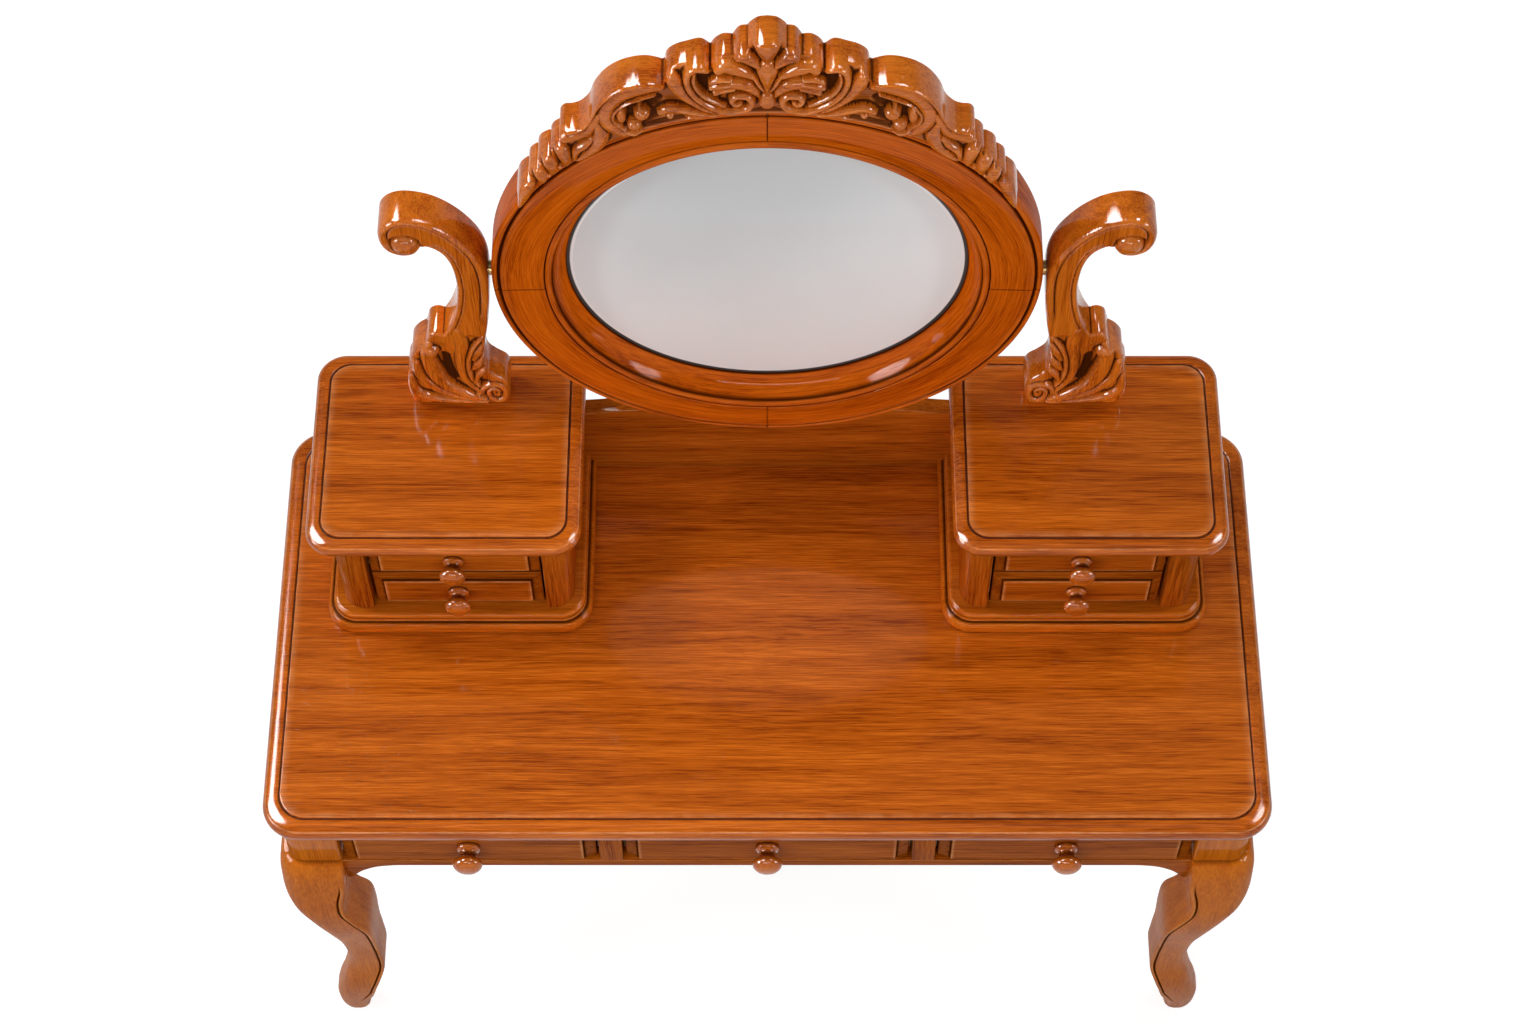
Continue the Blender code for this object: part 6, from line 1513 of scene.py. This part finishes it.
    def heights(self, points: np.ndarray, edge: np.ndarray) -> np.ndarray:
        """Height of the front: carved above the low edge, flush with the frame below it."""
        left = np.column_stack([-np.abs(points[:, 0]), points[:, 1]])
        height = self.relief(left, self.strokes)
        angle, rise = self.rise_of(points)
        low = np.array(smooth_run(self.low_edge, 6))
        over = (rise - np.interp(angle, low[:, 0], low[:, 1])) * self.rise
        height = np.where(height < 0.0, 1.4 * height, np.minimum(height, 0.0059))
        height = np.where(over < 0.0025, height - 0.0014 * (1 - np.clip(over, 0, 0.0025) / 0.0025) ** 2, height)
        outer = np.where(over > 0.006, np.clip(edge, 0.0, self.rim), self.rim)
        height = height - (self.rim - np.sqrt(self.rim ** 2 - (self.rim - outer) ** 2)) * 0.8
        return np.where(over < -0.00005, -self.proud, height)

    def build(self) -> None:
        """Make the crown."""
        outer: list[Flat] = []
        for run in self.outline_runs:
            outer += [self.at(*point) for point in smooth_run(run, 5)]
        seat_share = (self.inset + self.seat_gap) / self.rise
        seat = [self.at(angle, seat_share) for angle in np.linspace(0.0, self.seat_end, 120)]
        outline = self.both(outer) + self.both(seat)[::-1]
        guides = []
        for shift in (0.0, -0.0003 / self.rise):
            line = [self.at(a, r + shift) for a, r in smooth_run(self.low_edge, 24) if a < 57.5]
            guides.append(self.both(line))
        solid = self.carve(outline, guides, self.front_y, self.back_y)
        self.add("carved_mirror_crown", solid, self.finishes.lacquered(Wood.CARVED), "mirror", "mirror_crown", smooth_angle=48.0)


@dataclass
class Supports(Carving):
    """Scroll supports of the mirror: measures are shares outwards from the frame and up."""
    inner_x: float = 0.3045
    width: float = 0.123
    foot_z: float = 0.9162
    height: float = 0.38602
    front_y: float = 0.19725
    back_y: float = 0.23725
    ground: float = -0.0005
    boss: tuple[float, float, float] = (0.770, 0.876, 15.2)
    outline_runs: tuple[tuple[Flat, ...], ...] = (
        ((0.82, 0.0), (0.10, 0.0)),
        ((0.06, 0.004), (0.012, 0.035), (0.0, 0.08), (0.03, 0.13), (0.12, 0.162), (0.195, 0.20), (0.205, 0.265),
         (0.175, 0.35), (0.13, 0.44), (0.09, 0.54), (0.069, 0.65), (0.077, 0.73), (0.12, 0.80), (0.20, 0.862), (0.325, 0.924),
         (0.48, 0.972), (0.64, 0.996), (0.79, 1.0), (0.91, 0.98), (0.985, 0.94), (0.99, 0.895), (0.945, 0.855), (0.86, 0.832),
         (0.765, 0.826), (0.675, 0.838), (0.62, 0.858)),
        ((0.58, 0.862), (0.51, 0.850), (0.44, 0.820), (0.39, 0.772), (0.366, 0.712), (0.362, 0.635), (0.40, 0.536),
         (0.47, 0.453), (0.55, 0.396)),
        ((0.565, 0.398), (0.62, 0.404), (0.69, 0.390), (0.725, 0.355)), ((0.745, 0.330), (0.82, 0.308), (0.885, 0.272), (0.90, 0.235)),
        ((0.905, 0.205), (0.955, 0.165), (0.975, 0.10), (0.955, 0.035), (0.895, 0.004)))
    strokes: tuple[Stroke, ...] = (
        # Ground between the leaves
        Stroke(((0.30, 0.36, 16, -3.5), (0.30, 0.25, 20, -5.0), (0.30, 0.15, 18, -5.5), (0.30, 0.06, 18, -5.5)), hollow=True),
        Stroke(((0.66, 0.30, 26, -4.5), (0.66, 0.20, 34, -6.0), (0.60, 0.10, 38, -6.5), (0.50, 0.03, 40, -6.5)), hollow=True),
        Stroke(((0.57, 0.27, 7, -9.0), (0.555, 0.20, 7, -9.5), (0.50, 0.135, 5, -9.0)), hollow=True),
        # Knob and three leaves
        Stroke(((0.705, 0.305, 11.5, 6.4),)),
        Stroke(((0.705, 0.345, 6, 1.5), (0.74, 0.29, 9, 4.2), (0.700, 0.19, 11.5, 6.0), (0.62, 0.125, 9.6, 6.2), (0.50, 0.083, 8, 5.2), (0.375, 0.052, 6, 4.2), (0.25, 0.032, 4, 2.6))),
        Stroke(((0.865, 0.245, 6, 2.6), (0.855, 0.20, 7.6, 4.4), (0.80, 0.145, 8, 5.0), (0.68, 0.090, 6.6, 4.4), (0.52, 0.052, 5, 3.2), (0.34, 0.028, 3.6, 2.0))),
        Stroke(((0.93, 0.165, 6, 2.4), (0.92, 0.10, 8, 4.8), (0.83, 0.055, 8, 5.2), (0.68, 0.034, 6.4, 4.2), (0.48, 0.022, 5, 3.0), (0.24, 0.015, 4, 2.0))),
        Stroke(((0.765, 0.24, 1.5, 1.6), (0.735, 0.175, 1.8, 2.6), (0.655, 0.118, 1.8, 2.6), (0.52, 0.078, 1.5, 1.8)), hollow=True),
        Stroke(((0.665, 0.23, 1.3, 2.2), (0.64, 0.165, 1.6, 2.8), (0.565, 0.112, 1.5, 2.4)), hollow=True),
        # Stem
        Stroke(((0.42, 0.415, 9, 0.8), (0.40, 0.34, 9, 3.4), (0.425, 0.275, 8, 4.4), (0.435, 0.215, 7, 4.6), (0.415, 0.16, 6.4, 4.2), (0.35, 0.11, 5, 3.4), (0.27, 0.07, 4, 2.2))),
        Stroke(((0.40, 0.36, 1.4, 0.6), (0.43, 0.28, 1.6, 2.0), (0.43, 0.21, 1.6, 2.2), (0.40, 0.15, 1.4, 1.8)), hollow=True),
        # Stack of lobes over the volute
        Stroke(((0.19, 0.385, 3.4, 1.6), (0.275, 0.338, 4.0, 3.2), (0.345, 0.275, 4.0, 3.8), (0.365, 0.21, 4.0, 3.8), (0.345, 0.155, 3.6, 3.4), (0.29, 0.11, 3, 2.2))),
        Stroke(((0.20, 0.335, 5.6, 2.8), (0.25, 0.305, 7, 4.0), (0.30, 0.265, 5, 2.6))),
        Stroke(((0.215, 0.262, 5.4, 2.8), (0.26, 0.238, 6.6, 4.0), (0.31, 0.210, 4.6, 2.4))),
        Stroke(((0.19, 0.205, 5.0, 2.6), (0.245, 0.187, 6.0, 3.8), (0.295, 0.158, 4.6, 2.8), (0.315, 0.125, 3, 1.4))),
        # Volute
        Stroke(((0.33, 0.045, 3.4, 1.6), (0.285, 0.075, 4.2, 3.4), (0.235, 0.105, 4.4, 4.0), (0.16, 0.122, 4.6, 4.2), (0.085, 0.115, 4.8, 4.2), (0.04, 0.082, 4.8, 4.2),
                (0.06, 0.046, 4.6, 4.0), (0.125, 0.030, 4.4, 3.8), (0.19, 0.046, 4.0, 3.6), (0.205, 0.078, 3.6, 3.4), (0.155, 0.097, 3.2, 3.2), (0.10, 0.084, 3.0, 3.0), (0.12, 0.063, 2.6, 2.6))))

    def at(self, along: float, up: float) -> Flat:
        """Place on the left support."""
        return (-(self.inner_x + self.width * along), self.foot_z + self.height * up)

    def arm_strokes(self) -> list[Stroke]:
        """Bead and crease along the arm's outer edge, the fine line along its inner one, and the boss."""
        outer, inner = list(self.outline_runs[1][8:]), list(self.outline_runs[2])
        made = []
        for run, side, way in ((outer, -1.0, ((4.6, 4.8, 2.8, False), (10.2, 1.5, -1.8, True))),
                               (inner, -1.0, ((8.6, 1.1, 0.9, False), (7.0, 1.3, -3.2, True), (3.2, 3.4, 0.2, False)))):
            places = np.array([self.at(*point) for point in run])
            tangent = np.gradient(places, axis=0)
            tangent /= np.hypot(*tangent.T)[:, None]
            normal = np.column_stack([-tangent[:, 1], tangent[:, 0]])
            for inset, wide, top, hollow in way:
                moved = places + normal * inset / 1000 * -side
                path = []
                for i, (x, z) in enumerate(moved):
                    fade = min(1.0, (i + 1) / 2, (len(moved) - i) / 2)
                    along, up = (-x - self.inner_x) / self.width, (z - self.foot_z) / self.height
                    path.append((along, up, wide * fade, top if fade == 1.0 else -0.4))
                made.append(Stroke(tuple(path), hollow=hollow, foot=-2.0))
        along, up, radius = self.boss
        ring = []
        for i in range(17):
            turn = 2 * math.pi * i / 16
            ring.append((along + (radius + 1.2) / 1000 / self.width * math.cos(turn), up + (radius + 1.2) / 1000 / self.height * math.sin(turn), 2.6, -6.5))
        made.append(Stroke(tuple(ring), hollow=True))
        made.append(Stroke(((along, up, radius, 7.6),), foot=-4.0))
        return made

    def heights(self, points: np.ndarray, edge: np.ndarray) -> np.ndarray:
        """Height of the front, rounded off at the outline."""
        height = np.minimum(self.relief(points, list(self.strokes) + self.arm_strokes()), 0.0077)
        height = np.where(height < -0.001, 1.4 * (height + 0.001) - 0.001, height)
        near = np.clip(edge, 0.0, self.rim)
        return height - (self.rim - np.sqrt(self.rim ** 2 - (self.rim - near) ** 2))

    def build(self) -> None:
        """Make both supports."""
        outline: list[Flat] = []
        for run in self.outline_runs:
            outline += [self.at(*point) for point in smooth_run(run, 6)]
        left = self.carve(outline, (), self.front_y, self.back_y)
        wood = self.finishes.lacquered(Wood.CARVED, Grain.UPRIGHT)
        self.add("carved_mirror_support_left", left, wood, "carcass", "mirror_support_left", smooth_angle=48.0)
        self.add("carved_mirror_support_right", left.mirrored(), wood, "carcass", "mirror_support_right", smooth_angle=48.0)


@dataclass
class Studio:
    """White room: floor, soft boxes, surroundings and the photograph's camera."""
    camera_place: Point = (0.0, -1.72705, 4.1224)
    camera_tilt: float = 29.0
    lens: float = 73.434
    shift: float = 0.00046
    # Windows in the gloss: direction, half angle in degrees and strength
    windows: tuple[tuple[Point, float, float], ...] = (
        ((-0.54, 0.18, 0.80), 15.0, 55.0), ((0.52, 0.12, 0.84), 9.0, 30.0), ((-0.90, -0.25, 0.32), 12.0, 40.0),
        ((0.90, -0.25, 0.32), 9.0, 26.0))

    def floor(self) -> None:
        """Pale floor that stays white to the camera and keeps the table's shadow."""
        reach, edge = 9.0, 0.78
        solid = plate([(-reach, -reach), (reach, -reach), (reach, reach), (-reach, reach)], -0.05, 0.0, 0.01, 2)
        item = bpy.data.objects.new("studio_floor", solid.mesh("studio_floor"))
        bpy.context.scene.collection.objects.link(item)
        material = bpy.data.materials.new("pale_floor")
        material.use_nodes = True
        desk = NodeDesk(material.node_tree)
        shader = material.node_tree.nodes["Principled BSDF"]
        shader.inputs["Base Color"].default_value = (0.45, 0.45, 0.45, 1.0)
        shader.inputs["Roughness"].default_value = 0.9
        shader.inputs["Specular IOR Level"].default_value = 0.0
        rays = desk.add("ShaderNodeLightPath")
        seen = desk.math("MAXIMUM", desk.math("MAXIMUM", rays.outputs["Is Camera Ray"], rays.outputs["Is Glossy Ray"]),
                         rays.outputs["Is Transmission Ray"])
        glow = desk.add("ShaderNodeEmission")
        desk.join(desk.math("MULTIPLY", seen, edge), glow.inputs["Strength"])
        both = desk.add("ShaderNodeAddShader")
        desk.join(shader.outputs[0], both.inputs[0])
        desk.join(glow.outputs[0], both.inputs[1])
        desk.join(both.outputs[0], material.node_tree.nodes["Material Output"].inputs["Surface"])
        item.data.materials.append(material)

    def soft_box(self, name: str, place: Point, target: Point, size: Flat, power: float) -> None:
        """Area lamp aimed at a point."""
        lamp = bpy.data.lights.new(name, "AREA")
        lamp.shape = "RECTANGLE"
        lamp.size, lamp.size_y = size
        lamp.energy = power
        item = bpy.data.objects.new(name, lamp)
        bpy.context.scene.collection.objects.link(item)
        item.location = place
        item.rotation_euler = (Vector(target) - Vector(place)).to_track_quat("-Z", "Y").to_euler()

    def surroundings(self) -> None:
        """White room all round; in the lacquer's gloss it is duller overhead and shows bright windows."""
        world = bpy.data.worlds.new("white_room")
        world.use_nodes = True
        desk = NodeDesk(world.node_tree)
        back = world.node_tree.nodes["Background"]
        rays = desk.add("ShaderNodeLightPath")
        apart = desk.add("ShaderNodeSeparateXYZ")
        desk.join(desk.add("ShaderNodeTexCoord").outputs["Generated"], apart.inputs[0])
        height = desk.span(apart.outputs["Z"], 0.05, 0.50, 1.0, 0.16)
        for towards, spread, power in self.windows:
            facing = desk.add("ShaderNodeVectorMath", operation="DOT_PRODUCT")
            desk.join(desk.add("ShaderNodeTexCoord").outputs["Generated"], facing.inputs[0])
            facing.inputs[1].default_value = Vector(towards).normalized()
            edge = [math.cos(math.radians(spread * share)) for share in (1.15, 0.85)]
            height = desk.math("ADD", height, desk.span(facing.outputs["Value"], edge[0], edge[1], 0.0, power))
        glossy = desk.add("ShaderNodeMix", data_type="FLOAT")
        desk.join(rays.outputs["Is Glossy Ray"], glossy.inputs["Factor"])
        glossy.inputs[2].default_value = 0.30
        desk.join(height, glossy.inputs[3])
        straight = desk.math("MAXIMUM", rays.outputs["Is Camera Ray"], rays.outputs["Is Transmission Ray"])
        seen = desk.add("ShaderNodeMix", data_type="FLOAT")
        desk.join(straight, seen.inputs["Factor"])
        desk.join(glossy.outputs[0], seen.inputs[2])
        seen.inputs[3].default_value = 1.0
        desk.join(seen.outputs[0], back.inputs["Strength"])
        back.inputs["Color"].default_value = (1.0, 1.0, 1.0, 1.0)
        bpy.context.scene.world = world

    def camera(self) -> None:
        """Camera at the photograph's view."""
        data = bpy.data.cameras.new("photo_view")
        data.lens = self.lens
        data.sensor_width = 36.0
        data.shift_x = self.shift
        item = bpy.data.objects.new("photo_view", data)
        bpy.context.scene.collection.objects.link(item)
        item.location = self.camera_place
        item.rotation_euler = (math.radians(self.camera_tilt), 0.0, 0.0)
        bpy.context.scene.camera = item

    def build(self) -> None:
        """Set up the room."""
        self.camera()
        self.floor()
        self.surroundings()
        table = (0.0, 0.0, 0.85)
        self.soft_box("box_left_over", (-1.95, 0.65, 3.75), table, (0.70, 0.70), 40.0)
        self.soft_box("box_right_over", (1.95, 0.70, 3.70), table, (0.55, 0.55), 17.0)
        self.soft_box("box_overhead", (0.0, -0.3, 3.9), table, (2.4, 1.0), 3.0)
        self.soft_box("spot_side_left", (-2.8, -1.1, 2.2), table, (0.42, 0.42), 12.0)
        self.soft_box("spot_side_right", (2.7, -1.2, 2.2), table, (0.34, 0.34), 7.0)
        self.soft_box("strip_front", (-0.2, -1.75, 2.0), table, (2.0, 0.20), 20.0)
        bpy.context.scene.view_settings.view_transform = "Standard"


DRAWER_WOOD = PlainWood("drawer_wood", (0.70, 0.48, 0.26), (0.60, 0.38, 0.19), (0.42, 0.24, 0.11), Grain.DEEP)
BACKING_WOOD = PlainWood("backing_wood", (0.46, 0.28, 0.14), (0.36, 0.20, 0.09), (0.22, 0.11, 0.05))


def main() -> None:
    """Build the room, then the table's sub-assemblies in order."""
    logging.basicConfig(level=logging.INFO, format="%(name)s: %(message)s")
    Studio().build()
    finishes = Finishes()
    for assembly in (Boards, Legs, Rails, Drawers, Pedestals, BackPanel, Mirror, Supports, Crown):
        made = assembly(finishes=finishes)
        made.build()
        LOG.info("%s done", assembly.__name__)


if __name__ == "__main__":
    main()
